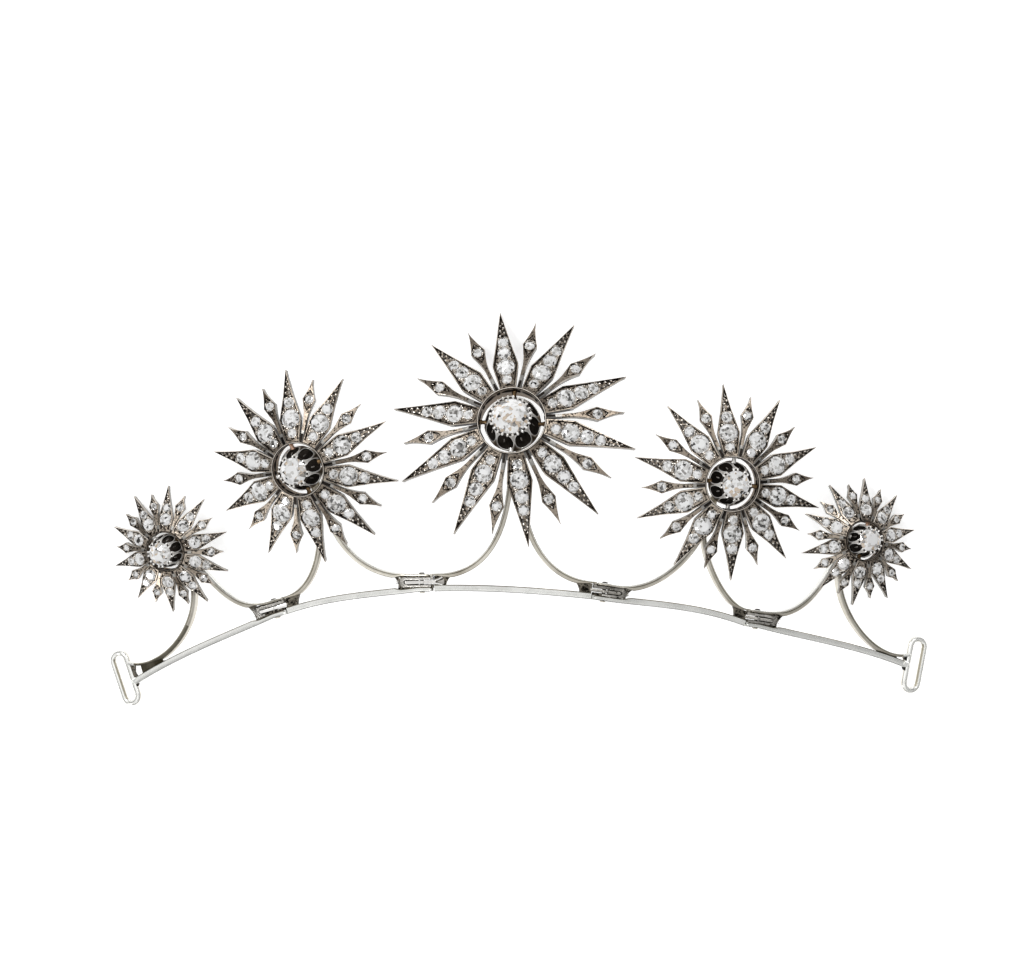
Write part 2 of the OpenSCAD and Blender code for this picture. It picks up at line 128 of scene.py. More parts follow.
# Tip radius, collar's height, radius, depth down to the coronet and whole depth, ray's
# thickness, coronet's foot, stone's radius and its height over the collar.
# Long rays: half width at the collar, then radius and half width of shoulder and knee.
# Short rays: half width of the stem, its end, radius and half width of the leaf, tip.
# Stones: distance from the centre and radius. Last, the places of a claw's beads.
SIZES = [
    Size(26.6, 6.4, 7.5, 3.0, 5.2, 1.5, 6.0, 4.05, 2.8,
         (1.7, 13.2, 2.8, 19.5, 1.45), (0.5, 12.8, 18.3, 1.6, 24),
         [(9.65, 0.95), (12.75, 1.8), (16.25, 1.35), (19.05, 1.05)], (18.3, 0.95),
         (-15, 0, 15)),
    Size(21.3, 5.1, 6.1, 2.6, 3.8, 1.4, 4.8, 3.0, 2.6,
         (1.5, 11.0, 2.5, 15.8, 1.2), (0.5, 10.4, 15.0, 1.45, 19.2),
         [(7.95, 0.9), (11.0, 1.85), (14.3, 1.05)], (15.0, 0.85), (-8, 8)),
    Size(14.1, 3.4, 4.6, 2.0, 2.8, 1.2, 3.6, 2.55, 2.4,
         (1.15, 7.4, 1.75, 10.6, 0.85), (0.45, 6.7, 10.2, 1.2, 12.7),
         [(7.0, 1.2), (9.45, 0.85)], (10.1, 0.7), (-9, 9)),
]
RAYS = 10
CLAWS = 8
# Width of a ray's cut rim, depth of its sunken floor, and how much wider than its CAD
# seat a stone is drawn; then the room round a stone in its seat, the largest pit and
# bead of a ray's tip, and the number of small grains scattered over a long ray
RIM, SINK, FULL = 0.27, 0.4, 1.1
SEAT_ROOM, PIT_MAX, BEAD_MAX, SCATTER = 0.16, 0.36, 0.29, 26


# Shapes gathered in millimetres before they become objects

class Patch:
    """Points and faces, each face with a material's name and a tone from 0 to 1."""

    def __init__(self, points=(), faces=(), look="", tones=0.5):
        self.points = np.array(points, float).reshape(-1, 3)
        self.faces = [tuple(f) for f in faces]
        self.looks = [look] * len(self.faces) if isinstance(look, str) else list(look)
        count = len(self.faces)
        self.tones = [tones] * count if isinstance(tones, (int, float)) else list(tones)

    def moved(self, place, tone=None):
        """A copy at a place, its faces turned round if the place is a mirror image."""
        copy = Patch()
        m = np.array(place)
        copy.points = self.points @ m[:3, :3].T + m[:3, 3]
        mirrored = np.linalg.det(m[:3, :3]) < 0
        copy.faces = [f[::-1] for f in self.faces] if mirrored else list(self.faces)
        copy.looks = list(self.looks)
        copy.tones = list(self.tones) if tone is None else [tone] * len(self.faces)
        return copy

    def toned(self, tone):
        self.tones = [tone] * len(self.faces)
        return self


def circle(count, first=0.0):
    """Cosine and sine of equal steps round a circle."""
    return [(math.cos(a), math.sin(a))
            for a in (2 * math.pi * (i + first) / count for i in range(count))]


def joined(patches):
    """One patch of many, with the points stacked once."""
    whole, first = Patch(), 0
    stack = []
    for p in patches:
        stack.append(p.points)
        whole.faces += [tuple(i + first for i in f) for f in p.faces]
        whole.looks += p.looks
        whole.tones += p.tones
        first += len(p.points)
    whole.points = np.vstack(stack)
    return whole


def loft(rings, looks, caps="", tone=0.5):
    """Closed rings of points joined in order. looks names the material of each strip."""
    count = len(rings[0])
    points = [p for ring in rings for p in ring]
    faces, names = [], []
    for k in range(len(rings) - 1):
        for i in range(count):
            j = (i + 1) % count
            faces.append((k * count + i, k * count + j, (k + 1) * count + j,
                          (k + 1) * count + i))
            names.append(looks if isinstance(looks, str) else looks[i])
    if caps:
        last = (len(rings) - 1) * count
        faces += [tuple(range(count))[::-1], tuple(last + i for i in range(count))]
        names += [caps, caps]
    return Patch(points, faces, names, tone)


def lathe(profile, looks, sides=72, closed=True):
    """Profile of (radius, height) points turned round z; looks names each band."""
    rings = [[(r * c, r * s, z) for r, z in profile] for c, s in circle(sides)]
    count = len(profile)
    bands = count if closed else count - 1
    points = [p for ring in rings for p in ring]
    faces, names = [], []
    for k in range(sides):
        n = (k + 1) % sides
        for i in range(bands):
            j = (i + 1) % count
            faces.append((k * count + i, n * count + i, n * count + j, k * count + j))
            names.append(looks if isinstance(looks, str) else looks[i])
    return Patch(points, faces, names)


def hole(low_radius, high_radius, depth, sides=20, top=0.4):
    """Cutter for a seat, a pit or a bore: a round bar or cone from -depth up to top."""
    shape = lathe([(low_radius, -depth), (high_radius, top)], "pit", sides, closed=False)
    shape.faces += [tuple(range(0, 2 * sides, 2))[::-1], tuple(range(1, 2 * sides, 2))]
    shape.looks += ["pit", "pit"]
    shape.tones += [0.5, 0.5]
    return shape


def ball(radius, look, sides=7, rows=3):
    """Round grain of metal standing on a surface, its foot a little below z 0."""
    points = [(0, 0, radius)]
    for k in range(1, rows + 1):
        a = math.pi / 2 * k / (rows - 0.8)
        r, z = radius * math.sin(min(a, math.pi / 2)), radius * math.cos(a)
        points += [(r * c, r * s, max(z, -0.35 * radius)) for c, s in circle(sides)]
    faces = [(0, 1 + i, 1 + (i + 1) % sides) for i in range(sides)]
    for k in range(rows - 1):
        b = 1 + k * sides
        faces += [(b + i, b + sides + i, b + sides + (i + 1) % sides, b + (i + 1) % sides)
                  for i in range(sides)]
    faces.append(tuple(1 + (rows - 1) * sides + i for i in range(sides))[::-1])
    return Patch(points, faces, look)


def sphere(radius, look, sides=12, rows=8):
    profile = [(max(radius * math.sin(math.pi * k / rows), 1e-4),
                -radius * math.cos(math.pi * k / rows)) for k in range(rows + 1)]
    return lathe(profile, look, sides, closed=False)


# Objects

LOOKS = {}


def new_object(name, data):
    obj = bpy.data.objects.new(name, data)
    bpy.context.collection.objects.link(obj)
    return obj


def mesh_of(name, patch):
    mesh = bpy.data.meshes.new(name)
    mesh.from_pydata((patch.points * MM).tolist(), [], patch.faces)
    used = sorted(set(patch.looks))
    for look in used:
        mesh.materials.append(LOOKS[look])
    mesh.polygons.foreach_set("material_index", [used.index(n) for n in patch.looks])
    tone = mesh.attributes.new("tone", "FLOAT", "FACE")
    tone.data.foreach_set("value", patch.tones)
    return mesh


def piece(name, patch, body, nodes, smooth=35):
    """Makes the object, rounds its shading up to an angle and hands it to the frame."""
    mesh = mesh_of(name, patch)
    obj = new_object(name, mesh)
    mesh.polygons.foreach_set("use_smooth", [smooth > 0] * len(mesh.polygons))
    if smooth:
        mesh.set_sharp_from_angle(angle=math.radians(smooth))
    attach(obj, body)
    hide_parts(*nodes)
    return obj


def carved(patch, cutters, bevel=0.0):
    """The patch with the cutters taken out of it, and its hard edges eased."""
    def temporary(shape, name):
        obj = new_object(name, bpy.data.meshes.new(name))
        obj.data.from_pydata(shape.points.tolist(), [], shape.faces)
        for look in LOOKS:
            obj.data.materials.append(LOOKS[look])
        index = {look: i for i, look in enumerate(LOOKS)}
        obj.data.polygons.foreach_set("material_index", [index[n] for n in shape.looks])
        return obj

    block = temporary(patch, "block")
    weld = block.modifiers.new("weld", "WELD")
    weld.merge_threshold = 1e-5
    tools = [temporary(c, "tool") for c in cutters]
    for tool in tools:
        cut = block.modifiers.new("cut", "BOOLEAN")
        cut.object, cut.operation, cut.solver = tool, "DIFFERENCE", "EXACT"
        cut.material_mode = "INDEX"
    if bevel:
        ease = block.modifiers.new("ease", "BEVEL")
        ease.width, ease.segments, ease.limit_method = bevel, 2, "ANGLE"
        ease.angle_limit = math.radians(40)
    bpy.context.view_layer.update()
    done = block.evaluated_get(bpy.context.evaluated_depsgraph_get())
    mesh = done.to_mesh()
    names = list(LOOKS)
    result = Patch([v.co[:] for v in mesh.vertices],
                   [tuple(f.vertices) for f in mesh.polygons],
                   [names[f.material_index] for f in mesh.polygons])
    done.to_mesh_clear()
    for obj in [block, *tools]:
        data = obj.data
        bpy.data.objects.remove(obj)
        bpy.data.meshes.remove(data)
    return result


# Materials

class Nodes:
    """A node tree that is being built."""

    def __init__(self, owner):
        owner.use_nodes = True
        self.tree = owner.node_tree

    def new(self, kind, **values):
        node = self.tree.nodes.new(kind)
        for key, value in values.items():
            if hasattr(node, key):
                setattr(node, key, value)
            else:
                node.inputs[key.replace("_", " ")].default_value = value
        return node

    def link(self, out, into):
        self.tree.links.new(out, into)

    def coords(self, kind="Object"):
        return self.new("ShaderNodeTexCoord").outputs[kind]

    def noise(self, scale, detail=4.0, rough=0.6, kind="Object"):
        node = self.new("ShaderNodeTexNoise", Scale=scale, Detail=detail, Roughness=rough)
        self.link(self.coords(kind), node.inputs["Vector"])
        return node.outputs["Fac"]

    def ramp(self, factor, stops):
        node = self.new("ShaderNodeValToRGB")
        node.color_ramp.elements.remove(node.color_ramp.elements[1])
        for i, (place, colour) in enumerate(stops):
            mark = (node.color_ramp.elements[0] if i == 0
                    else node.color_ramp.elements.new(place))
            mark.position, mark.color = place, (*colour, 1)
        self.link(factor, node.inputs["Fac"])
        return node.outputs["Color"]

    def multiply(self, a, b):
        node = self.new("ShaderNodeMix", data_type="RGBA", blend_type="MULTIPLY")
        node.inputs[0].default_value = 1.0
        self.link(a, node.inputs[6])
        self.link(b, node.inputs[7])
        return node.outputs[2]

    def span(self, factor, low, high):
        node = self.new("ShaderNodeMapRange")
        node.inputs["To Min"].default_value = low
        node.inputs["To Max"].default_value = high
        self.link(factor, node.inputs["Value"])
        return node.outputs["Result"]

    def weighted(self, value, share, rest):
        """value times share, plus rest."""
        node = self.new("ShaderNodeMath", operation="MULTIPLY_ADD")
        node.inputs[1].default_value = share
        self.link(value, node.inputs[0])
        self.link(rest, node.inputs[2])
        return node.outputs[0]


class Look(Nodes):
    """A new material with a Principled shader."""

    def __init__(self, name):
        material = bpy.data.materials.new(name)
        super().__init__(material)
        self.shader = self.tree.nodes["Principled BSDF"]
        LOOKS[name] = material

    def tone(self):
        return self.new("ShaderNodeAttribute", attribute_name="tone").outputs["Fac"]

    def bump(self, factor, strength, distance):
        node = self.new("ShaderNodeBump", Strength=strength, Distance=distance)
        self.link(factor, node.inputs["Height"])
        self.link(node.outputs["Normal"], self.shader.inputs["Normal"])


SPECKLE = 1900.0


def silver(name, dark, light, rough, grain=900.0, dent=0.00004, metal=1.0, spots=0.0):
    """Silver whose colour wanders from dark to light with the tone and a fine grain.
    spots is the share of the surface that is speckled with dark points."""
    n = Look(name)
    cloud = n.noise(grain * 0.35)
    fine = n.noise(grain * 3, 2.0)
    mixed = n.weighted(n.tone(), 0.55, n.span(cloud, -0.15, 0.6))
    colour = n.ramp(mixed, [(0.15, dark), (0.85, light)])
    if spots:
        speckle = n.ramp(n.noise(SPECKLE, 2.0), [(spots - 0.05, (0.03, 0.027, 0.025)),
                                                 (spots + 0.05, (1, 1, 1))])
        colour = n.multiply(colour, speckle)
    n.link(colour, n.shader.inputs["Base Color"])
    n.shader.inputs["Metallic"].default_value = metal
    n.link(n.span(cloud, rough - 0.1, rough + 0.12), n.shader.inputs["Roughness"])
    n.bump(fine, 0.6, dent)


def glass(name, stops, clear, reflection_scale):
    """Cut stone: patches of white, pale, grey, tan and dark painted into its colour as the
    reflections its facets would show, over a partly clear body.
    """
    n = Look(name)
    painted_reflections = n.new("ShaderNodeTexVoronoi", Scale=reflection_scale)
    n.link(n.coords(), painted_reflections.inputs["Vector"])
    split = n.new("ShaderNodeSeparateColor")
    n.link(painted_reflections.outputs["Color"], split.inputs[0])
    mixed = n.weighted(split.outputs[0], 0.6, n.span(n.tone(), 0.0, 0.4))
    n.link(n.ramp(mixed, stops), n.shader.inputs["Base Color"])
    n.shader.inputs["Transmission Weight"].default_value = clear
    n.shader.inputs["Roughness"].default_value = 0.03
    n.shader.inputs["IOR"].default_value = 2.2


# Colours of the stones' painted facet reflections
WHITE, PALE, TAN = (1, 1, 1), (0.66, 0.65, 0.63), (0.66, 0.52, 0.38)
GREY, DARK = (0.22, 0.21, 0.195), (0.02, 0.018, 0.016)


def make_looks():
    silver("rim", (0.11, 0.087, 0.066), (0.64, 0.555, 0.46), 0.30, spots=0.42)
    silver("edge", (0.28, 0.24, 0.20), (0.93, 0.86, 0.78), 0.25, metal=0.8)
    silver("bed", (0.08, 0.063, 0.048), (0.56, 0.48, 0.395), 0.32, dent=0.0001, spots=0.48)
    silver("grain", (0.28, 0.24, 0.20), (0.96, 0.91, 0.84), 0.20, metal=0.85)
    # Painted shade: the near-black pit look goes on the walls of holes, grooves, slots and hollows
    silver("pit", (0.004, 0.0035, 0.003), (0.060, 0.050, 0.042), 0.45)
    silver("wall", (0.010, 0.009, 0.008), (0.62, 0.60, 0.56), 0.32)
    silver("back", (0.20, 0.18, 0.16), (0.55, 0.52, 0.48), 0.38)
    silver("gilt", (0.025, 0.015, 0.006), (0.24, 0.155, 0.08), 0.4)
    silver("copper", (0.16, 0.085, 0.05), (0.66, 0.42, 0.30), 0.35, metal=0.7)
    # Painted sheen: the claw look is half metal with a near-white colour, so that claws, beads,
    # bright rims, edges and tongues look lit from every side
    silver("claw", (0.55, 0.52, 0.48), (0.98, 0.97, 0.95), 0.18, metal=0.45)
    silver("glint", (0.04, 0.035, 0.03), (0.60, 0.57, 0.53), 0.30, metal=0.6)
    silver("polish", (0.70, 0.70, 0.66), (0.98, 0.98, 0.95), 0.25, 500.0, 0.00001, 0.9)
    silver("wire", (0.045, 0.038, 0.022), (0.46, 0.43, 0.35), 0.3, 500.0, 0.00001)
    silver("wire_pale", (0.34, 0.30, 0.23), (0.90, 0.87, 0.79), 0.3, 500.0, 0.00001, 0.9)
    silver("clasp", (0.10, 0.092, 0.075), (0.90, 0.87, 0.82), 0.28, 1500.0, 0.00012, 0.9,
           spots=0.36)
    silver("solder", (0.006, 0.005, 0.003), (0.30, 0.27, 0.22), 0.42, 1500.0, 0.00015,
           spots=0.46)
    glass("stone", [(0.0, WHITE), (0.50, WHITE), (0.55, PALE), (0.68, PALE), (0.71, GREY),
                    (0.77, GREY), (0.80, DARK)], 0.3, 1900.0)
    glass("main_stone", [(0.0, WHITE), (0.48, WHITE), (0.52, PALE), (0.64, PALE),
                         (0.66, TAN), (0.73, TAN), (0.76, GREY), (0.80, GREY),
                         (0.83, DARK)], 0.3, 1500.0)


make_looks()


# Stones

def gem(radius, table=0.54, crown=0.34, depth=0.78, look="stone"):
    """Old cut: table, star, bezel and upper girdle facets; below them eight mains."""
    def ring(count, r, z, first=0.0):
        return [(r * c, r * s, z) for c, s in circle(count, first)]

    points = ring(8, table, crown)
    points += ring(8, 0.8, 0.19, 0.5)
    points += ring(16, 1.0, 0.02)
    points += ring(16, 1.0, -0.03)
    points += ring(8, 0.62, -0.36, 0.5)
    points += ring(8, 0.09, -depth)
    faces = [tuple(range(8))]
    for i in range(8):
        j = (i + 1) % 8
        before = 8 + (i - 1) % 8
        at, after = 8 + i, 16 + (2 * i + 2) % 16
        g0, g1 = 16 + 2 * i, 16 + 2 * i + 1
        faces += [(i, at, j), (i, before, g0, at), (at, g0, g1), (at, g1, after)]
        p0, p1, p2 = g0 + 16, g1 + 16, after + 16
        low, lowb = 32 + 16 + i, 32 + 16 + (i - 1) % 8
        c0 = 56 + i
        faces += [(low, p1, p0), (low, p2, p1), (p0, lowb, c0, low)]
    faces += [(16 + i, 32 + i, 32 + (i + 1) % 16, 16 + (i + 1) % 16) for i in range(16)]
    faces += [(48 + i, 56 + i, 56 + (i + 1) % 8) for i in range(8)]
    faces.append(tuple(56 + i for i in range(8))[::-1])
    shape = Patch(np.array(points) * radius, faces, look)
    # A random tone for each facet picks its painted reflection from the ramp
    shape.tones = [rng.random() for _ in faces]
    return shape


# Largest tilt of a ray's stone, and how far large and small ones stand from the face
SET_TILT, LARGE_LIFT, SMALL_LIFT = 4, -0.16, -0.2


def set_stone(size, distance, radius, lift):
    """A stone in a ray, a little turned and tilted as if set by hand."""
    place = (size.on_ray(distance) @ shift(0, 0, lift) @ turn("Z", rng.uniform(0, 45))
             @ turn("X", rng.uniform(-SET_TILT, SET_TILT))
             @ turn("Y", rng.uniform(-SET_TILT, SET_TILT)))
    stretch = Matrix.Diagonal((rng.uniform(0.95, 1.04), rng.uniform(0.95, 1.04), 1, 1))
    return gem(radius * rng.uniform(0.97, 1.03), rng.uniform(0.5, 0.6)).moved(place @ stretch)


def ray_stones(size):
    shapes = []
    for i in range(RAYS):
        around = turn("Z", i * 360 / RAYS)
        for distance, radius in size.long_stones:
            lift = LARGE_LIFT if radius > 1 else SMALL_LIFT
            shapes.append(set_stone(size, distance, radius * FULL, lift).moved(around))
        between = turn("Z", (i + 0.5) * 360 / RAYS)
        distance, radius = size.short_stone
        shapes.append(set_stone(size, distance, radius * FULL, SMALL_LIFT).moved(between))
    return joined(shapes)


# Rays

def width_between(marks, t):
    """Half width at t along a ray, straight between the marks."""
    for (t0, w0), (t1, w1) in zip(marks, marks[1:]):
        if t <= t1:
            return w0 + (w1 - w0) * (t - t0) / (t1 - t0)
    return marks[-1][1]


def long_width(size):
    root, shoulder, wide, knee, narrow = size.long_ray
    marks = [(0, root), (size.along(shoulder), wide), (size.along(knee), narrow),
             (size.along(size.tip), 0.05)]
    return lambda t: width_between(marks, t), [m[0] for m in marks]


def short_width(size):
    stem, leaf, widest, wide, tip = size.short_ray
    t0, t1, t2 = size.along(leaf), size.along(widest), size.along(tip)

    def width(t):
        if t <= t0:
            return stem
        if t <= t1:
            return stem + (wide - stem) * ((t - t0) / (t1 - t0)) ** 1.7
        return 0.05 + (wide - 0.05) * ((t2 - t) / (t2 - t1)) ** 1.4
    return width, [0, t0, t1, t2]


# The pit strips are the groove inside the rim, painted near-black as shade
RAY_STRIPS = ["back", "wall", "edge", "rim", "pit", "pit", "bed", "bed", "pit", "pit", "rim",
              "edge", "wall", "back"]


# Way from the last stone to the first mark of a tip, the share of the tip that has marks,
# a pit's and a bead's radius as shares of the half width, and the gap between marks
TIP_ROOM, TIP_SHARE, PIT_SHARE, BEAD_SHARE, TIP_GAP = 0.42, 0.64, 0.52, 0.46, 0.06
# Width of the dark line inside the rim, and how far in from the rim the bed rises
LINE_WIDTH, BED_EDGE = 0.09, 0.26


def tip_marks(size, side=1):
    """Pits and beads that alternate down the narrow end of a long ray: place along it,
    then offset and radius of the pit and of the bead beside it."""
    width, marks = long_width(size)
    distance, radius = size.long_stones[-1]
    t = size.along(distance) + radius * FULL + TIP_ROOM
    end = (1 - TIP_SHARE) * marks[2] + TIP_SHARE * marks[3]
    found = []
    while t < end:
        inner = width(t) - RIM * 0.7
        pit = min(PIT_MAX, inner * PIT_SHARE)
        offset = inner * 0.5 if inner > 0.42 else inner * 0.12
        bead = min(BEAD_MAX, inner * BEAD_SHARE)
        found.append((t, side * offset, pit, -side * offset, bead))
        side = -side
        t += pit * 1.7 + TIP_GAP
    return found


def ray_ring(t, w, groove, depth, thick, flank):
    """Section across a ray, from the middle of its back round its right side: wall,
    bright edge, rim, dark line inside the rim, raised bed."""
    low = max(w - 0.12, 0.6 * w)
    ease = min(max(0.1, flank * w), 0.6 * w)
    line = max(groove - LINE_WIDTH, 0.0)
    bed = max(groove - BED_EDGE, 0.0)
    half = [(0, -thick), (low, -thick), (w, -0.14 - flank), (w - ease, -0.01),
            (groove, 0.0), (line, -depth), (bed, -0.42 * depth)]
    right = [(x, t, z) for x, z in half]
    left = [(-x, t, z) for x, z in half[:0:-1]]
    return right + [(0, t, -0.34 * depth)] + left


# Where a long ray's bed begins and how steeply its ends widen; for a short ray how far
# the bed reaches on both sides of its stone, as a share of the stone's radius
BED_START, BED_SLOPE = 0.3, 4.0
LEAF_BED, LEAF_SLOPE = (3.0, 2.6), 0.75
RING_STEP = 0.7
# A seat's lower radius as a share of its stone's; a pit's lower and upper radius as
# shares of its mark's, and its depth
SEAT_TAPER, PIT_LOW, PIT_HIGH, PIT_DEPTH = 0.8, 0.7, 1.2, 0.75
# Share of a long ray, and of a short ray's stem, whose sides are painted dark: painted shade
# between the rays near the collar
DARK_SHARE = {"long": 0.28, "short": 0.62}


def ray_metal(size, kind, side=1):
    """A ray's metal: walls, cut rim, sunken floor and a hole under each stone."""
    width, marks = long_width(size) if kind == "long" else short_width(size)
    open_at, close_at, slope = BED_START, marks[-1], BED_SLOPE
    if kind == "short":
        at, radius = size.along(size.short_stone[0]), size.short_stone[1]
        open_at, close_at = at - LEAF_BED[0] * radius, at + LEAF_BED[1] * radius
        slope = LEAF_SLOPE
    steps = {0.0, open_at, open_at + 0.12, open_at + 0.3, close_at}
    for a, b in zip(marks, marks[1:]):
        count = max(2, round((b - a) / RING_STEP))
        steps |= {a + (b - a) * k / count for k in range(count + 1)}
    rings, reach = [], marks[-1]
    for t in sorted(steps):
        w = width(t)
        rim = RIM * min(1.0, 0.55 + 0.6 * w / 2)
        groove = max(min(w - rim, (t - open_at) * slope, (close_at - t) * slope), 0.0)
        depth = SINK * min(1.0, groove / 0.3, max(t - open_at, 0) / 0.3)
        flank = 0.0
        if kind == "short":
            flank = 0.45 * max(0.0, min(1.0, 1.3 - t / max(marks[1], 0.1) * 0.6))
        rings.append(ray_ring(t, w, groove, depth, size.thick, flank if groove < 0.2 else 0))
    body = loft(rings, RAY_STRIPS, caps="wall")
    stones = size.long_stones if kind == "long" else [size.short_stone]
    cutters = []
    for distance, radius in stones:
        full = radius * FULL
        cutters.append(hole(full * SEAT_TAPER, full + SEAT_ROOM, size.thick + 0.5).moved(
            shift(0, size.along(distance), 0)))
    if kind == "long":
        for t, x, radius, _, _ in tip_marks(size, side):
            pit = hole(radius * PIT_LOW, radius * PIT_HIGH, PIT_DEPTH, 10)
            cutters.append(pit.moved(shift(x, t, 0)))
    metal = carved(body, cutters)
    # Painted shade between the rays near the collar: a ray's walls darken toward the collar and
    # turn near-black close to it, and a short ray's rim there turns near-black, then dark. Painted
    # sheen: a short ray's edges there take the bright claw look.
    dark_to = DARK_SHARE[kind] * (reach if kind == "long" else marks[1])
    for k, f in enumerate(metal.faces):
        t = sum(metal.points[i][1] for i in f) / len(f)
        if metal.looks[k] == "wall":
            metal.tones[k] = 0.05 + 0.45 * min(1.0, (t / reach) ** 1.2 * 1.3)
            if t < dark_to:
                metal.looks[k] = "pit"
        elif metal.looks[k] == "rim" and kind == "short" and t < dark_to:
            metal.looks[k] = "pit" if t < 0.7 * dark_to else "wall"
        elif metal.looks[k] == "edge" and kind == "short" and t < dark_to:
            metal.looks[k] = "claw"
    return metal


# Grains in each quarter round a stone: angle and share of the full grain
QUARTER_GRAINS = ((33, 0.8), (50, 1.15), (67, 0.8))
GRAIN_SINK = 0.12


def ray_grains(size, kind, side=1):
    """Grains raised round the stones of a ray, and beads down its narrow end."""
    width = (long_width(size) if kind == "long" else short_width(size))[0]
    stones = size.long_stones if kind == "long" else [size.short_stone]
    seats = [(size.along(distance), radius * FULL) for distance, radius in stones]
    shapes = []

    def grain(x, t, radius, aim=0.0):
        room = width(t) - RIM * 0.6
        x = max(min(abs(x), room - radius * 0.5), radius * 0.4) * (1 if x > 0 else -1)
        shapes.append(ball(radius, "grain").moved(
            size.on_ray() @ shift(x, t, -GRAIN_SINK) @ turn("Z", aim)
            @ Matrix.Diagonal((1.0, rng.uniform(0.95, 1.3), 1, 1)), rng.uniform(0.1, 1)))

    for t, radius in seats:
        reach = radius + 0.12
        big = 0.13 + 0.055 * radius
        for sx in (1, -1):
            for st in (1, -1):
                for angle, share in QUARTER_GRAINS:
                    a = math.radians(angle + rng.uniform(-4, 4))
                    grain(sx * reach * math.cos(a), t + st * reach * math.sin(a),
                          big * share * rng.uniform(0.85, 1.15), sx * st * angle)
    if kind == "short":
        t, radius = seats[0]
        grain(0.01, t + radius * 1.8, 0.17)
        grain(0.01, t - radius * 1.9, 0.17)
        return shapes
    for (t0, r0), (t1, r1) in zip(seats, seats[1:]):
        for sx in (1, -1):
            grain(sx * 0.8 * min(r0, r1), (t0 + r0 + t1 - r1) / 2, 0.2)
    for _ in range(SCATTER):
        t = rng.uniform(0.6, seats[-1][0])
        x = rng.uniform(-1, 1) * (width(t) - RIM)
        if all(math.hypot(x, t - at) > r + 0.2 for at, r in seats):
            grain(x, t, rng.uniform(0.09, 0.15))
    for t, _, _, x, radius in tip_marks(size, side):
        grain(x, t, radius)
    return shapes


# Collar, coronet and claws

OVAL_MIDDLE, OVAL_HALF = 0.56, 0.5
OVAL_LEVELS = [0.06, 0.07, 0.09, 0.12, 0.17, 0.24, 0.33, 0.45, 0.58, 0.72, 0.86, 1.0]
CLAW_LEVELS = [0, 0.04, *OVAL_LEVELS]
CLAW_HALF, CLAW_WALL, CLAW_RIDGE, COLLAR_WALL = 0.16, 0.36, 0.12, 0.4
# Share of its height below which the middle of a claw's front takes the darker wall look
CLAW_DARK_BELOW = 0.45
GLINT_STREAK_SHAPE = Matrix.Diagonal((0.5, 0.7, 3.2, 1))
CLAW_BEAD_SHAPE = Matrix.Diagonal((1.3, 0.9, 1.1, 1))


def collar(size):
    low, top, inner = size.dome - size.depth, size.dome, size.collar - COLLAR_WALL
    smallest = size is SIZES[-1]
    line = 0.17 if smallest else 0.11
    profile = [(inner, low), (size.collar - 0.04, low), (size.collar, low + 0.06),
               (size.collar, top - 0.16), (size.collar - line, top - 0.08),
               (size.collar - line - 0.02, top + 0.02), (inner + 0.13, top + 0.02),
               (inner + 0.07, top - 0.12), (inner, top - 0.16)]
    bright = "rim" if smallest else "edge"
    # The outer wall and both chamfers take the near-black pit look: painted shade round the bright
    # top
    looks = ["back", "back", "pit", "pit", bright, bright, "pit", "pit", "gilt"]
    return lathe(profile, looks, 96)


def cone_radius(size, share):
    return size.collet + (size.stone + 0.35 - size.collet) * share


def cone_point(size, angle, share, out):
    """Point on the coronet's cone: angle in degrees, share of its height, offset."""
    bottom, top = size.foot, size.girdle - 0.1
    radius = cone_radius(size, share) + out
    a = math.radians(angle)
    return (radius * math.cos(a), radius * math.sin(a), bottom + (top - bottom) * share)


def window_half(size, share):
    """Half the angle of the oval opening between two claws at a share of the height."""
    full = 180 / CLAWS - math.degrees(CLAW_HALF / cone_radius(size, share))
    return full * max(1 - ((share - OVAL_MIDDLE) / OVAL_HALF) ** 2, 0) ** 0.33


def claw(size, index):
    """One claw with its share of the foot ring, as a bent solid."""
    middle = index * 360 / CLAWS
    rings = []
    for share in CLAW_LEVELS:
        half = 180 / CLAWS - window_half(size, share)
        angles = [middle - half + 2 * half * k / 4 for k in range(5)]
        front = [cone_point(size, a, share, CLAW_RIDGE * (1 - abs(k - 2) / 2))
                 for k, a in enumerate(angles)]
        rings.append(front + [cone_point(size, a, share, -CLAW_WALL) for a in angles[::-1]])
    # A claw's front is in the bright claw look, painted sheen; its back and sides are in the
    # near-black pit look, painted shade
    shape = loft(rings, ["claw"] * 4 + ["pit"] * 6, caps="claw")
    for k, share in enumerate(CLAW_LEVELS):
        if share < CLAW_DARK_BELOW:
            shape.looks[k * 10 + 1] = shape.looks[k * 10 + 2] = "wall"
    return shape


def arch_rim(size, index):
    """Bright raised edge round the open oval between two claws."""
    middle = (index + 0.5) * 360 / CLAWS
    upward = [(window_half(size, share), share) for share in OVAL_LEVELS[1:]]
    path = [(middle - half, share) for half, share in upward[::-1]]
    path.append((middle, OVAL_LEVELS[0]))
    path += [(middle + half, share) for half, share in upward]
    points = [Vector(cone_point(size, a, share, 0.03)) for a, share in path]
    return tube(points, 0.09, "claw", 6, 1.0)


def tube(points, radius, look, sides=8, tone=0.6):
    """Round wire through the points."""
    rings = []
    for k, p in enumerate(points):
        ahead = points[min(k + 1, len(points) - 1)]
        behind = points[max(k - 1, 0)]
        along = (ahead - behind).normalized()
        side = along.cross(Vector((0, 0, 1)))
        side = side.normalized() if side.length > 0.05 else Vector((1, 0, 0))
        up = side.cross(along).normalized()
        rings.append([tuple(p + radius * (c * side + s * up)) for c, s in circle(sides)])
    return loft(rings, look, caps=look, tone=tone)


def around_at(angle, radius, height):
    """Place at an angle round the star's middle, its x pointing outward."""
    return (shift(radius * math.cos(angle), radius * math.sin(angle), height)
            @ turn("Z", math.degrees(angle)))


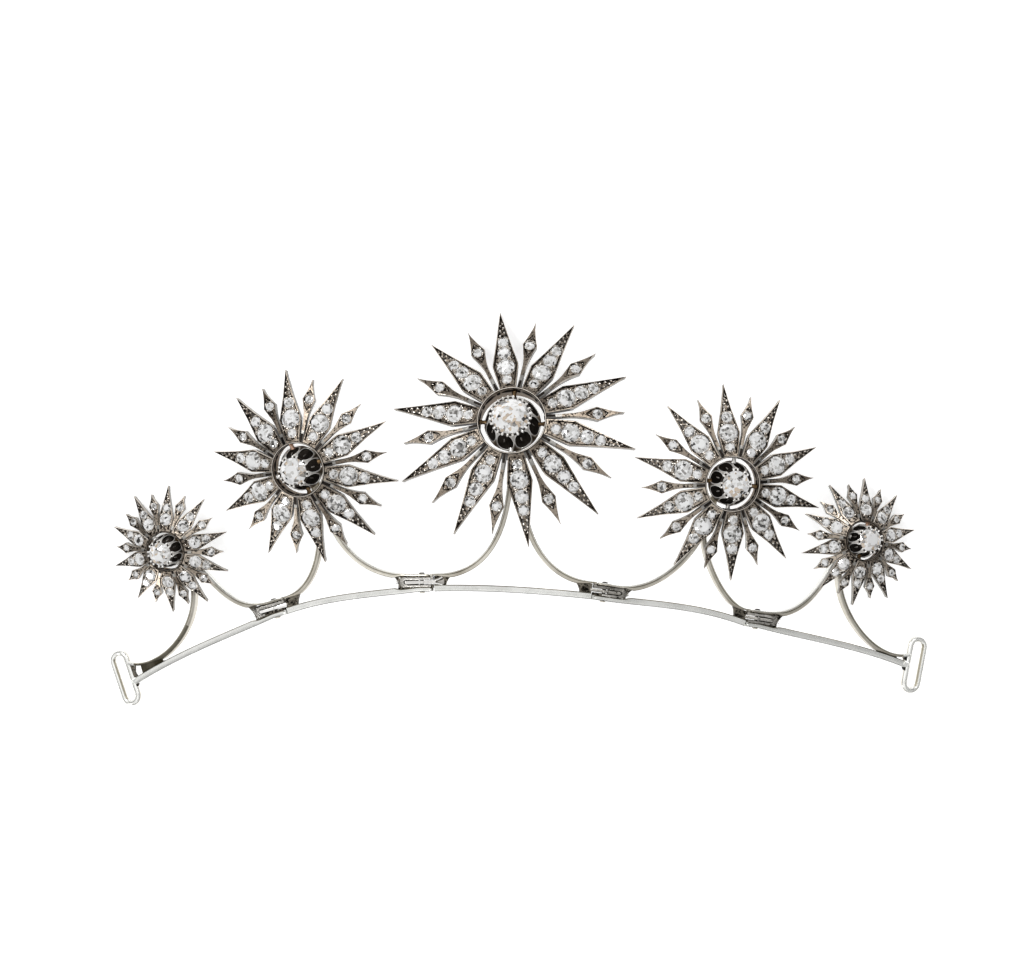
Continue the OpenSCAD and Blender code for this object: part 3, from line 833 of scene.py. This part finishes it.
def coronet(size):
    shapes = [claw(size, i) for i in range(CLAWS)] + [arch_rim(size, i) for i in range(CLAWS)]
    lean = math.degrees(math.atan((size.collet - size.stone) / (size.girdle - size.foot)))
    # Painted glint: a small grey body in each window where the stone inside would catch light
    for i in range(CLAWS):
        glint_streak = sphere(0.2, "glint", 8, 6).moved(GLINT_STREAK_SHAPE)
        a = math.radians((i + 0.5) * 360 / CLAWS + rng.uniform(-4, 4))
        place = around_at(a, cone_radius(size, 0.5) - 0.42, (size.foot + size.girdle) / 2)
        shapes.append(glint_streak.moved(place @ turn("Y", -lean), rng.uniform(0.1, 0.9)))
    # Painted shade: a near-black cup closes the coronet's foot so that its windows read dark
    # inside
    well = [(size.collet - 0.5, size.foot + 0.05), (size.collet - 0.3, size.foot + 0.5),
            (size.collet - 0.9, size.foot + 0.25), (0.01, size.foot + 0.2),
            (0.01, size.foot)]
    shapes.append(lathe(well, "pit", 48))
    # Painted shade: a near-black ring just under the stone's girdle stands for the shadowed gap
    # round it
    seat = [(size.stone - 0.1, size.girdle - 0.3), (size.stone + 0.34, size.girdle - 0.3),
            (size.stone + 0.34, size.girdle - 0.06), (size.stone - 0.1, size.girdle - 0.06)]
    shapes.append(lathe(seat, "pit", 64))
    for i in range(CLAWS):
        for part in size.claw_beads:
            place = around_at(math.radians(i * 360 / CLAWS + part), size.stone + 0.2,
                              size.girdle + 0.12)
            shapes.append(sphere(0.10 + 0.055 * size.stone, "claw").moved(
                place @ CLAW_BEAD_SHAPE, rng.uniform(0.2, 1)))
    return shapes


STRUT_FIRST, STRUT_RADIUS, STRUT_STEPS = 80, 0.46, 6
# A strut's ends: way into the coronet and into the collar, and height over the foot
STRUT_IN, STRUT_OUT = (0.4, 0.5), (0.3, 0.7)
STRUT_LOOKS = {
    "centre": ("gilt", "gilt", "claw", "gilt"), "mid_left": ("copper", "claw", "gilt", "gilt"),
    "mid_right": ("claw", "gilt", "wall", "gilt"), "end_left": ("claw", "copper", "claw", "gilt"),
    "end_right": ("copper", "claw", "gilt", "wall"),
}


def struts(name, size):
    """Four pegs of solder and wire from the coronet to the collar."""
    shapes = []
    for i in range(4):
        inner = Vector((size.collet - STRUT_IN[0], 0, size.foot + STRUT_IN[1]))
        outer = Vector((size.collar - STRUT_OUT[0], 0, size.foot + STRUT_OUT[1]))
        rings = []
        for k in range(STRUT_STEPS + 1):
            u = k / STRUT_STEPS
            p = inner.lerp(outer, u)
            r = STRUT_RADIUS + 0.6 * abs(u - 0.45) ** 1.6 + rng.uniform(-0.04, 0.04)
            rings.append([(p.x, r * c, p.z + 0.9 * r * s) for c, s in circle(10)])
        look = STRUT_LOOKS[name][i]
        shapes.append(loft(rings, look, caps=look).moved(turn("Z", STRUT_FIRST - i * 90),
                                                         rng.uniform(0.3, 0.8)))
    return shapes


# Brightness of the rays for each star size
RAY_SHADE = {"long": (0.85, 0.85, 1.0), "short": (0.6, 0.6, 1.0)}


def star_metal(name, size):
    crown = turn("Z", CORONET_TURNS[name])
    shapes = [collar(size), *[c.moved(crown) for c in coronet(size)], *struts(name, size)]
    metal = {("long", 1): ray_metal(size, "long"), ("long", -1): ray_metal(size, "long", -1)}
    metal["short", 1] = metal["short", -1] = ray_metal(size, "short")
    for kind, first in (("long", 0), ("short", 180 / RAYS)):
        for i in range(RAYS):
            side = -1 if i % 2 else 1
            around = turn("Z", first + i * 360 / RAYS)
            ray = metal[kind, side].moved(around @ size.on_ray())
            shade = rng.uniform(0.1, 0.9) * RAY_SHADE[kind][SIZES.index(size)]
            ray.tones = [t if look == "wall" else shade for t, look in zip(ray.tones, ray.looks)]
            shapes.append(ray)
            shapes += [g.moved(around) for g in ray_grains(size, kind, side)]
    return joined(shapes)


for name, values in STARS.items():
    size = SIZES[values[6]]
    place = star_place(name)
    piece(f"{name}_star_metal", star_metal(name, size).moved(place), name, [f"star_{name}"],
          40)
    piece(f"{name}_ray_stones", ray_stones(size).moved(place), name,
          [f"ray_stones_{name}"], 0)
    oval = Matrix.Diagonal((1.03, 0.96, 1, 1)) if name == "centre" else Matrix.Identity(4)
    stone = gem(size.stone, 0.5, 0.36, 0.7, "main_stone").moved(
        place @ shift(0, 0, size.girdle) @ oval @ turn("Z", 30))
    piece(f"{name}_main_stone", stone, name, [f"stone_{name}"], 0)


# Frame sections, drawn like the source: x outward, y up along the hinge pin, z forward

WIRE_WIDTH, WIRE_DEPTH, WIRE_BEVEL = 1.2, 1.6, 0.17
# Angles of the steps that round the end of a wire or bar
END_STEPS = (0.3, 0.6, 0.9, 1.2)
BAR_HEIGHT, BAR_DEPTH = 1.4, 1.3
CURVE_STEPS = 40
FORK_TOP, SLOT_TOP, SLOT_FLOOR, FORK_BOTTOM = -0.15, -1.25, -2.15, -3.75
FORK_IN, FORK_OUT, SLOT_END = -2.3, 4.9, 3.9
FORK_BACK, FORK_FRONT, SLOT_BACK, PRONG_END = -0.8, 0.25, -0.45, SLOT_END + 0.3
PIN_BORE = 0.42
WEB_IN, WEB_OUT = -4.3, -2.75
WIRE_LEVEL, BAR_LEVEL = FORK_TOP - 0.35, FORK_BOTTOM + BAR_HEIGHT / 2
BAR_START = 0.88
LOOP_LENGTH, LOOP_WIDTH, LOOP_WIRE = 12.9, 4.9, 1.35
FOOT_R, STEM_R = (2.6, 2.3, 2.2), (1.8, 1.6, 1.4)
FOOT_DEPTH, FOOT_GAP, FOOT_EASE = 1.4, 0.1, 0.15
# Solder between a fork's wire and bar: from, to and shift across, for wire and bar
FORK_WEB = ((4.0, 7.4, 0.1), (4.0, 5.6, 0.2))
HINGE_EDGE = -2.62
ROOT_SIDE, ROOT_DROP = 0.8, 1.5
TONGUE_TIP, TONGUE_BACK, TONGUE_FRONT, TONGUE_PLAY = 3.72, -0.37, 0.66, 0.12

# Where a wire or bar thins: the thin end's offset from the pin or loop, the way to its
# full width, its half width at the thin end and what that gains
BY_FORK, BAR_BY_FORK = (4.6, 1.6, -0.12, 0.72), (4.7, 1.4, 0.27, 0.43)
BY_TONGUE, BY_LOOP = (-3.2, -3.0, -0.2, 0.8), (-8.5, -2.0, 0.15, 0.45)

# Handles of the curves of the wires (inner, outer) and of the base bar
CENTRE_WIRES = {"left": ((-0.4, -3.6), (1.8, -19.6)), "right": ((1.5, -3.4), (2.3, -19.2))}
CENTRE_BAR = ((-5.4, -21.8), (5.8, -22.6))
WIRES = {
    "mid_left": (((20.6, 7.1), (14.6, -0.5)), ((22.0, 15.4), (20.7, -2.0))),
    "mid_right": (((22.6, 12.2), (13.5, -1.9)), ((14.4, 16.8), (26.3, -1.7))),
    "end_left": (((14.2, 11.3), (11.7, -0.5)), ((13.0, 2.8), (30.0, -8.9))),
    "end_right": (((14.2, 7.2), (12.2, -0.5)), ((12.9, 9.0), (28.7, -8.5))),
}
BARS = {
    "mid_left": ((9.0, -4.0), (20.1, -4.1)), "mid_right": ((9.4, -3.2), (21.2, -1.8)),
    "end_left": ((11.9, -4.3), (25.9, -4.9)), "end_right": ((11.7, -4.2), (25.8, -4.1)),
}
# Each fork's brightness, where its lower prong begins, and whether its upper prong is
# beaded
FORKS = {"mid_left": (0.75, -2.2, True), "mid_right": (0.35, -0.6, False),
         "end_left": (0.7, 2.6, False), "end_right": (0.5, -2.2, False)}
# Each tongue's brightness, and whether bright wires fork from its root
TONGUES = {"mid_left": (0.6, True), "mid_right": (0.15, False), "end_left": (0.9, False),
           "end_right": (0.35, False)}
LIP, LIP_HALF = -2.56, 0.45
# Each end loop's x, y, lean, and the heights where its wire and its bar arrive
LOOPS = {"left": (41.1, -6.7, 4, -4.0, -8.2), "right": (41.4, -6.6, 2, -4.8, -7.0)}


def at_pin(pin, along, up):
    x, y, lean = pin
    c, s = math.cos(math.radians(lean)), math.sin(math.radians(lean))
    return (x + along * c + up * s, y - along * s + up * c)


def flip(p):
    return (-p[0], p[1])


def curve(a, b, c, d):
    """Points along the curve from a to d with handles b and c."""
    a, b, c, d = (np.array(p, float) for p in (a, b, c, d))
    return [a * (1 - t) ** 3 + 3 * b * (1 - t) ** 2 * t + 3 * c * (1 - t) * t * t + d * t ** 3
            for t in np.linspace(0, 1, CURVE_STEPS + 1)]


def sweep(path, width, depth, looks, tones, ends=(True, True), upper=1, halves=None,
          dark_from=2.0):
    """Flat wire along a path in the section's plane, its edges eased, its ends round.
    looks names the upper edge, the face beside it, the line, the rest of the face, the
    lower edge and the back; upper is the side of the path that those names call upper;
    tones run along the path; halves gives the widths over and under the path;
    dark_from is the share of its length from which the rest of the face and the lower
    edge take the line's look."""
    path = [np.array(p, float) for p in path]
    spots = []
    for k, p in enumerate(path):
        along = path[min(k + 1, len(path) - 1)] - path[max(k - 1, 0)]
        spots.append((p, along / np.linalg.norm(along), 1.0))
    for last, sign in ((0, 1), (-1, -1)):
        if ends[last]:
            p, along, _ = spots[last]
            extra = [(p + sign * along * width / 2 * (1 - math.cos(a)), along, math.sin(a))
                     for a in END_STEPS]
            rest = [s for s in spots if sign * (s[0] - p) @ along > width / 2 - 0.02]
            spots = extra + rest if sign > 0 else rest + extra[::-1]
    rings = []
    for p, along, share in spots:
        side = np.array((-along[1], along[0])) * upper
        over, under = halves(p) if halves else (width / 2, width / 2)
        middle, w = (over - under) / 2, (over + under) / 2 * share
        d = depth / 2 * (0.7 + 0.3 * share)
        r = min(WIRE_BEVEL, w * 0.45)
        section = [(w, d - r), (w - r, d), (w * 0.48, d), (w * 0.12, d - 0.05), (r - w, d),
                   (-w, d - r), (-w, r - d), (r - w, -d), (w - r, -d), (w, r - d)]
        rings.append([(*(p + side * (middle + o)), z) for o, z in section])
    edge, rim, line, face, low_edge, back = looks
    names = [edge, rim, line, face, low_edge, low_edge, back, back, back, edge]
    shape = loft(rings, names, caps=back)
    if upper > 0:
        shape.faces = [f[::-1] for f in shape.faces]
    count = len(rings) - 1
    for k in range(count):
        u = k / count * (len(tones) - 1)
        i = min(int(u), len(tones) - 2)
        tone = tones[i] + (tones[i + 1] - tones[i]) * (u - i)
        for j in range(len(names)):
            shape.tones[k * len(names) + j] = tone
            if k / count > dark_from and j in (3, 4):
                shape.looks[k * len(names) + j] = line
    return shape


def thins(rule, middle=0, half=WIRE_WIDTH / 2, over=False):
    """Half widths over and under a path, one of them thinner beside a hinge or a loop."""
    offset, reach, thin, gain = rule

    def halves(p):
        share = min(max((p[0] - (middle + offset)) / reach, 0), 1)
        changed = thin + gain * share
        return (changed, half) if over else (half, changed)
    return halves


def prism(outline, back, front, look):
    """Flat plate with the given outline, drawn counterclockwise."""
    count = len(outline)
    points = [(x, y, back) for x, y in outline] + [(x, y, front) for x, y in outline]
    faces = [tuple(range(count))[::-1], tuple(range(count, 2 * count))]
    faces += [(i, (i + 1) % count, count + (i + 1) % count, count + i)
              for i in range(count)]
    return Patch(points, faces, look)


def plate(x0, x1, y0, y1, back, front, look):
    return prism([(x0, y0), (x1, y0), (x1, y1), (x0, y1)], back, front, look)


def stadium(x0, x1, y0, y1, back, front, look):
    """Plate whose right end is round."""
    r = (y1 - y0) / 2
    arc = [(x1 - r + r * math.cos(a), (y0 + y1) / 2 + r * math.sin(a))
           for a in np.linspace(-math.pi / 2, math.pi / 2, 11)]
    return prism([(x0, y0), *arc, (x0, y1)], back, front, look)


def web(upper, lower, back, front, look="solder", pull=0.22):
    """Solder between a wire and a bar. upper and lower are runs of points along each,
    from the hinge outward; the free edge between their ends is drawn in."""
    upper, lower = [tuple(p) for p in upper], [tuple(p) for p in lower]
    p, q = np.array(upper[-1]), np.array(lower[-1])
    inner = (np.array(upper[0]) + np.array(lower[0])) / 2
    middle = (p + q) / 2
    hollow = middle + (inner - middle) * pull
    edge = [tuple(p * (1 - t) ** 2 + 2 * hollow * (1 - t) * t + q * t * t)
            for t in np.linspace(0, 1, 9)[1:-1]]
    outline = upper + edge + lower[::-1]
    area = sum(a[0] * b[1] - b[0] * a[1] for a, b in zip(outline, outline[1:] + outline[:1]))
    if area < 0:
        outline = outline[::-1]
    return prism(outline, back, front, look)


def run(path, x0, x1, dy):
    """Points of a path between two values of x, shifted across, ordered from x0 to x1."""
    return sorted(((p[0], p[1] + dy) for p in path if min(x0, x1) <= p[0] <= max(x0, x1)),
                  reverse=x1 < x0)


def rough(outline, back, front, look, tone, bumps=0.05):
    """Plate with eased edges whose front is uneven, as where solder has run."""
    shape = carved(prism(outline, back, front, look), [], 0.07)
    shape.tones = [max(0.0, tone + rng.uniform(-0.25, 0.25)) for _ in shape.faces]
    high = shape.points[:, 2] > front - 0.02
    shape.points[high, 2] -= [rng.uniform(0, bumps) for _ in range(int(high.sum()))]
    return shape


# Each prong of a fork: lower edge, then the upper edge at its start and end, and front.
# The parts of the block at the fork's mouth: lower and upper edge, front and look.
PRONGS = {"upper": (-1.18, -0.66, -0.58, 0.74), "lower": (-2.72, -2.27, -2.25, 0.7)}
MOUTH = ((-0.38, 0.1, LIP_HALF, "wire_pale"), (-1.2, -0.5, 0.4, "clasp"),
         (-2.95, -2.2, 0.2, "solder"), (FORK_BOTTOM, -2.8, LIP_HALF, "polish"))
FORK_LUMPS = 16
# Beads along an upper prong: from, to, spacing, radius, then their height and front
FORK_BEADS = (-1.9, 3.8, 0.62, 0.2, -1.02, 0.7)


def fork(name):
    """Slotted plate round the hinge's tongue: dark base, two prongs and an end block."""
    bright, lower_from, beaded = FORKS[name]
    # Painted shade: the base plate seen between the prongs is in the near-black solder look, and
    # the slot's walls take the near-black pit look of its cutters
    base = plate(FORK_IN, FORK_OUT, FORK_BOTTOM + 0.15, FORK_TOP - 0.05, FORK_BACK, FORK_FRONT,
                 "solder")
    slot = stadium(FORK_IN - 1, SLOT_END + 0.05, SLOT_FLOOR, SLOT_TOP, SLOT_BACK, 1.5, "pit")
    way = plate(FORK_IN - 1, 1.0, SLOT_FLOOR, SLOT_TOP, -1.5, 0, "pit")
    bore = hole(PIN_BORE, PIN_BORE, 4.5, 24, 0.5)
    shapes = [carved(base, [slot, way, bore.moved(turn("X", -90))], 0.07)]
    steps = np.linspace(0, 1, 9)
    for prong, x0 in (("upper", FORK_IN), ("lower", lower_from)):
        y0, y1, y2, front = PRONGS[prong]
        length = PRONG_END - x0
        low = [(x0 + length * u, y0 + rng.uniform(-0.03, 0.05)) for u in steps]
        high = [(x0 + length * u, y1 + (y2 - y1) * u + rng.uniform(-0.05, 0.03))
                for u in steps]
        shapes.append(rough(low + high[::-1], 0.0, front, "clasp", bright, 0.1))
    for y0, y1, front, look in MOUTH:
        if y0 > FORK_BOTTOM or not beaded:
            lip = plate(LIP, FORK_IN + 0.3, y0, y1, -LIP_HALF, front, look)
            shapes.append(lip.toned(bright))
    block = stadium(SLOT_END - 0.75, FORK_OUT, -2.72, -0.58, 0.0, 0.66, "clasp")
    shapes.append(carved(block, [slot], 0.07).toned(bright * 0.5))
    for _ in range(FORK_LUMPS):
        place = shift(rng.uniform(SLOT_END + 0.1, FORK_OUT + 0.6), rng.uniform(-2.9, -0.5), 0.6)
        lump = sphere(rng.uniform(0.10, 0.2), "clasp", 8, 5).moved(
            place @ turn("Z", rng.uniform(0, 90)) @ Matrix.Diagonal((1.7, 0.7, 0.5, 1)))
        shapes.append(lump.toned(rng.uniform(0, bright)))
    if beaded:
        first, last, spacing, radius, y, z = FORK_BEADS
        shapes += [sphere(radius, "claw", 8, 6).moved(
            shift(x, y, z) @ Matrix.Diagonal((1.1, 0.8, 0.6, 1)), 0.9)
            for x in np.arange(first, last, spacing)]
    return shapes


# Bright wires at a tongue's root: height where they start, height at their end, tone
ROOT_WIRES = ((0.26, 0.95, 0.6), (-0.26, -0.62, 1.0))
KNUCKLE_BORE, KNUCKLE_R, KNUCKLE_HALF, KNUCKLE_EASE = 0.45, 0.76, 0.33, 0.24


def tongue(name):
    """Tongue with its round tip and knuckle, and the forked root that it grows from."""
    level = (SLOT_TOP + SLOT_FLOOR) / 2
    bright, forked = TONGUES[name]
    # Painted sheen: a bright tongue takes the near-white claw look
    look = "claw" if bright > 0.5 else "clasp"
    blade = stadium(WEB_OUT - 0.2, TONGUE_TIP, SLOT_FLOOR + TONGUE_PLAY, SLOT_TOP - TONGUE_PLAY,
                    TONGUE_BACK, TONGUE_FRONT, look)
    r, half = KNUCKLE_R, KNUCKLE_HALF
    knuckle = lathe([(KNUCKLE_BORE, -half), (0.68, -half), (r, -KNUCKLE_EASE),
                     (r, KNUCKLE_EASE), (0.68, half), (KNUCKLE_BORE, half)], look, 32).moved(
        shift(0, level, 0) @ turn("X", -90), bright)
    arrow = prism([(WEB_IN - 0.5, level - 0.62), (WEB_OUT - 0.35, level - 0.02),
                   (WEB_IN - 0.5, level + 0.62)], -0.5, 0.56, "clasp" if forked else "solder")
    shapes = [carved(blade, [], 0.12).toned(bright), knuckle,
              carved(arrow, [], 0.1).toned(bright * 0.4)]
    if not forked:
        return shapes
    for start, end, tone in ROOT_WIRES:
        points = [Vector((HINGE_EDGE + 0.15, level + start, 0.44)),
                  Vector((HINGE_EDGE - 0.7, level + start * 0.7 + end * 0.3, 0.5)),
                  Vector((WEB_IN - 0.1, level + end, 0.46))]
        shapes.append(tube(points, 0.17, "claw", 8, tone))
    return shapes


# Radius and height down a hinge pin: head hammered flat under the bar, then the pin,
# then the dark domed head over the wire
RIVET = [(0.01, -4.04), (0.42, -4.04), (0.6, -3.94), (0.64, -3.77), (0.4, -3.77),
         (0.4, 0.12), (0.58, 0.12), (0.64, 0.2), (0.6, 0.3), (0.36, 0.4), (0.01, 0.42)]
RIVET_LOOKS = ["wire_pale"] * 3 + ["pit", "pit", "wire_pale"] + ["solder"] * 4


# Painted highlight: a wire's upper edge is in bright polish above its pale face. Painted shade:
# the line in its shallow groove is in the dark wire look. A bar's upper edge takes the dark wire
# look.
WIRE_LOOKS = ("polish", "wire_pale", "wire", "wire_pale", "wire_pale", "polish")
BAR_LOOKS = ("wire", "polish", "polish", "polish", "polish", "polish")


def foot(name):
    """Disc, stem and saucer that carry a star."""
    x, y, stand, *_, row = STARS[name]
    size = SIZES[row]
    d, e = FOOT_DEPTH / 2, FOOT_EASE
    r = FOOT_R[row]
    disc = lathe([(0.01, -d), (r - e, -d), (r, e - d), (r, d - e), (r - e, d), (0.01, d)],
                 "polish", 48).moved(shift(x, y, 0))
    top = size.foot - FOOT_GAP
    r, s = size.collet - 0.05, STEM_R[row]
    stem = lathe([(0.01, -stand), (s, -stand), (s, top - 1.2), (s + 0.5, top - 0.9),
                  (r - 0.6, top - 0.8), (r, top - 0.55), (r, top - e), (r - e, top),
                  (0.01, top)], "wire", 64)
    local = SECTIONS[name].inverted() @ star_place(name)
    return [disc, stem.moved(local)]


def root(name, side):
    """Where a wire starts, behind its star's foot."""
    return (STARS[name][0] + side * ROOT_SIDE, STARS[name][1] - ROOT_DROP)


def tongue_side(name, wire, bar):
    """What a section has at the hinge on its outer side: solder web and tongue."""
    pin = PINS[name]
    x0, x1 = pin[0] + HINGE_EDGE, pin[0] - 5.9
    dark = web(run(wire, x0, x1 - 0.9, 0.1), run(bar, x0, x1 + 0.1, 0.3), -0.5, 0.36)
    return [dark] + [t.moved(at_hinge(pin)) for t in tongue(name)]


def centre_frame():
    left, right = PINS["mid_left"], PINS["mid_right"]
    bar = curve(flip(at_pin(left, HINGE_EDGE, BAR_LEVEL)), *CENTRE_BAR,
                at_pin(right, HINGE_EDGE, BAR_LEVEL))
    shapes = [sweep(bar, BAR_HEIGHT, BAR_DEPTH, BAR_LOOKS, (0.5, 0.8, 0.7, 0.9, 0.5),
                    (False, False))]
    for side, pin, sign in (("right", right, 1), ("left", left, -1)):
        start = root("centre", sign)
        wire = curve(start if sign > 0 else flip(start), *CENTRE_WIRES[side],
                     at_pin(pin, HINGE_EDGE, WIRE_LEVEL))
        near = sweep(wire, WIRE_WIDTH, WIRE_DEPTH, WIRE_LOOKS, (0.7, 0.8, 0.6, 0.5, 0.1),
                     (True, False), halves=thins(BY_TONGUE, pin[0]))
        own_bar = bar if sign > 0 else [flip(p) for p in bar]
        joint = [near] + tongue_side(f"mid_{side}", wire, own_bar)
        shapes += [j.moved(MIRROR) if sign < 0 else j for j in joint]
    return shapes + foot("centre")


def outer_frame(name):
    """A section beyond a hinge: fork inside, and outside a tongue or the end loop."""
    rank, side = name.split("_")
    wires, bar_handles = WIRES[name], BARS[name]
    if rank == "mid":
        pin = PINS[f"end_{side}"]
        bar_end, wire_end = (at_pin(pin, HINGE_EDGE, level) for level in (BAR_LEVEL, WIRE_LEVEL))
        outer_halves = thins(BY_TONGUE, pin[0])
    else:
        loop = LOOPS[side]
        inside = loop[0] - LOOP_WIDTH / 2 + 0.5
        bar_end, wire_end = (inside, loop[4]), (inside, loop[3])
        outer_halves = thins(BY_LOOP, loop[0])
    bar = [(x, BAR_LEVEL) for x in np.arange(FORK_IN, BAR_START, 0.4)]
    bar += curve((BAR_START, BAR_LEVEL), *bar_handles, bar_end)
    inner = curve(root(name, -1), *wires[0], (1, WIRE_LEVEL))
    inner += [np.array((x, WIRE_LEVEL)) for x in np.arange(0.6, FORK_IN + 0.2, -0.4)]
    outer = curve(root(name, 1), *wires[1], wire_end)
    shapes = fork(name) + [
        sweep(bar, BAR_HEIGHT, BAR_DEPTH, BAR_LOOKS, (0.7, 0.6, 0.8, 0.9, 0.7),
              (True, rank == "end"), halves=thins(BAR_BY_FORK, 0, BAR_HEIGHT / 2, over=True)),
        sweep(inner, WIRE_WIDTH, WIRE_DEPTH, WIRE_LOOKS, (0.7, 0.75, 0.5, 0.45, 0.5), upper=-1,
              halves=thins(BY_FORK)),
        sweep(outer, WIRE_WIDTH, WIRE_DEPTH, WIRE_LOOKS, (0.7, 0.7, 0.5, 0.35, 0.2),
              (True, rank == "end"), halves=outer_halves,
              dark_from=0.45 if name == "end_left" else 2.0),
        web(run(inner, *FORK_WEB[0]), run(bar, *FORK_WEB[1]), -0.5, 0.5, pull=0.85),
    ]
    if rank == "mid":
        shapes += tongue_side(f"end_{side}", outer, bar)
    else:
        shapes += end_loop(loop) + loop_solder(loop, outer, bar)
    return shapes + foot(name)


def end_loop(loop):
    """Long loop of round wire."""
    x, y, lean = loop[:3]
    bend, half = (LOOP_WIDTH - LOOP_WIRE) / 2, (LOOP_LENGTH - LOOP_WIDTH) / 2
    path = []
    for sign in (1, -1):
        path += [(sign * bend * math.cos(a), sign * (half + bend * math.sin(a)))
                 for a in np.linspace(0, math.pi, 25)]
        path += [(-sign * bend, sign * h) for h in np.linspace(half, -half, 8)[1:-1]]
    rings, count = [], len(path)
    for k, p in enumerate(path):
        along = np.array(path[(k + 1) % count]) - np.array(path[k - 1])
        along = along / np.linalg.norm(along)
        side = np.array((along[1], -along[0]))
        rings.append([(*(p + side * LOOP_WIRE / 2 * c), LOOP_WIRE / 2 * s)
                      for c, s in circle(20)])
    rings.append(rings[0])
    ring = loft(rings, "polish", tone=0.8)
    # Painted shade: the loop wire's two sides take the darker pale-wire look, and the inner front
    # of its outer limb the dark wire look
    for k in range(count):
        far = path[k][0] > 0 and abs(path[k][1]) < half + bend * 0.6
        for j in range(20):
            if far and j in (7, 8):
                ring.looks[k * 20 + j] = "wire"
            elif j in (0, 9, 10, 19):
                ring.looks[k * 20 + j] = "wire_pale"
                ring.tones[k * 20 + j] = 0.3 if far and j == 9 else 0.75
    return [ring.moved(shift(x, y, 0) @ turn("Z", -lean))]


def loop_solder(loop, wire, bar):
    """Dark filler at the loop, solder farther in, and the bright tips of wire and bar."""
    x, _, _, wire_y, bar_y = loop
    edge = x - (LOOP_WIDTH - LOOP_WIRE) / 2
    filler = prism([(edge - 1.5, bar_y + 0.5), (edge, bar_y + 0.1), (edge, wire_y - 0.1),
                    (edge - 1.5, wire_y - 0.4), (edge - 1.0, (wire_y + bar_y) / 2)],
                   -0.45, 0.4, "solder")
    farther = web(run(wire, edge - 2.8, edge - 9.6, 0.0), run(bar, edge - 3.1, edge - 9.2, 0.7),
                  -0.45, 0.68, "wire").toned(0.1)
    tips = []
    for path, lift, front, radius in ((wire, 0.2, 0.45, 0.42), (bar, 0.25, 0.25, 0.64)):
        near = [Vector((p[0], p[1] + lift, front)) for p in path if p[0] > edge - 1.9]
        tips.append(tube(near, radius, "polish", 10, 1.0))
        end = near[-1]
        tips.append(sphere(radius, "polish", 12, 8).moved(shift(end.x, end.y, end.z), 1.0))
    # Painted shadow: a dark patch in the solder look under the bar's end
    under = rough([(edge - 1.2, bar_y - 0.5), (edge - 0.9, bar_y - 1.0), (edge - 0.3, bar_y - 1.5),
                   (edge + 0.1, bar_y - 1.6), (edge, bar_y - 0.4)], -0.4, 0.5, "solder", 0.2)
    return [filler, farther, under, *tips]


for name in SECTIONS:
    shapes = centre_frame() if name == "centre" else outer_frame(name)
    piece(f"{name}_frame", joined(shapes).moved(SECTIONS[name]), name, [f"frame_{name}"],
          30)
rivet = lathe(RIVET, RIVET_LOOKS, 32, closed=False).moved(turn("X", -90))
for name in PINS:
    piece(f"{name}_rivet", rivet.moved(SECTIONS[name]), name, [f"pin_{name}"],
          35)


# Floor, light and camera, in metres

FLOOR_SIZE, FLOOR_TONE, FLOOR_ROUGH, FLOOR_GLOW = 6, 0.9, 0.9, 0.5
LAMP_TARGET = (0, 0, 0.01)
# Place, size and watts of each lamp
LAMPS = {
    "key": ((-0.62, 0.85, 0.8), 0.2, 5), "side": ((0.45, 0.85, 0.6), 0.12, 1.5),
    "low": ((-0.75, -0.55, 0.45), 0.12, 1.5),
}
CAMERA_LENS, CAMERA_SENSOR, CAMERA_DISTANCE = 163.48, 36, 1000


def build_stage():
    bpy.ops.mesh.primitive_plane_add(size=FLOOR_SIZE, location=(0, 0, 0))
    floor = bpy.context.object
    floor.name = "floor"
    shader = Look("floor").shader
    shader.inputs["Base Color"].default_value = (FLOOR_TONE, FLOOR_TONE, FLOOR_TONE, 1)
    shader.inputs["Roughness"].default_value = FLOOR_ROUGH
    shader.inputs["Emission Color"].default_value = (1, 1, 1, 1)
    shader.inputs["Emission Strength"].default_value = FLOOR_GLOW
    floor.data.materials.append(LOOKS["floor"])


def add_panel(name, location, size, power):
    light = bpy.data.lights.new(name, "AREA")
    light.shape, light.size, light.energy = "SQUARE", size, power
    obj = new_object(name, light)
    obj.location = location
    aim = Vector(LAMP_TARGET) - Vector(location)
    obj.rotation_euler = aim.to_track_quat("-Z", "Y").to_euler()


def greys(*stops):
    return [(place, (value, value, value)) for place, value in stops]


def build_light():
    """Soft dome, darker toward the horizon and in a few broad patches, and small lamps."""
    world = bpy.data.worlds.new("studio")
    bpy.context.scene.world = world
    n = Nodes(world)
    split = n.new("ShaderNodeSeparateXYZ")
    n.link(n.coords("Generated"), split.inputs[0])
    height = n.ramp(split.outputs["Z"], greys((0.0, 0.05), (0.3, 0.22), (0.55, 0.85), (1.0, 1.15)))
    patches = n.ramp(n.noise(2.1, 1.0, 0.5, "Generated"),
                     greys((0.36, 0.35), (0.5, 0.9), (0.7, 1.15)))
    n.link(n.multiply(height, patches), n.tree.nodes["Background"].inputs["Color"])
    n.tree.nodes["Background"].inputs["Strength"].default_value = 1.0
    for name, (location, size, power) in LAMPS.items():
        add_panel(name, location, size, power)


def build_camera():
    camera = bpy.data.cameras.new("camera")
    camera.lens, camera.sensor_width = CAMERA_LENS, CAMERA_SENSOR
    camera.clip_start, camera.clip_end = 0.01, 20
    obj = new_object("camera", camera)
    pose = LIE @ shift(0, 0, CAMERA_DISTANCE)
    obj.matrix_world = Matrix.Translation(pose.translation * MM) @ pose.to_3x3().to_4x4()
    bpy.context.scene.camera = obj


build_stage()
build_light()
build_camera()
bpy.context.scene.view_settings.view_transform = "Standard"
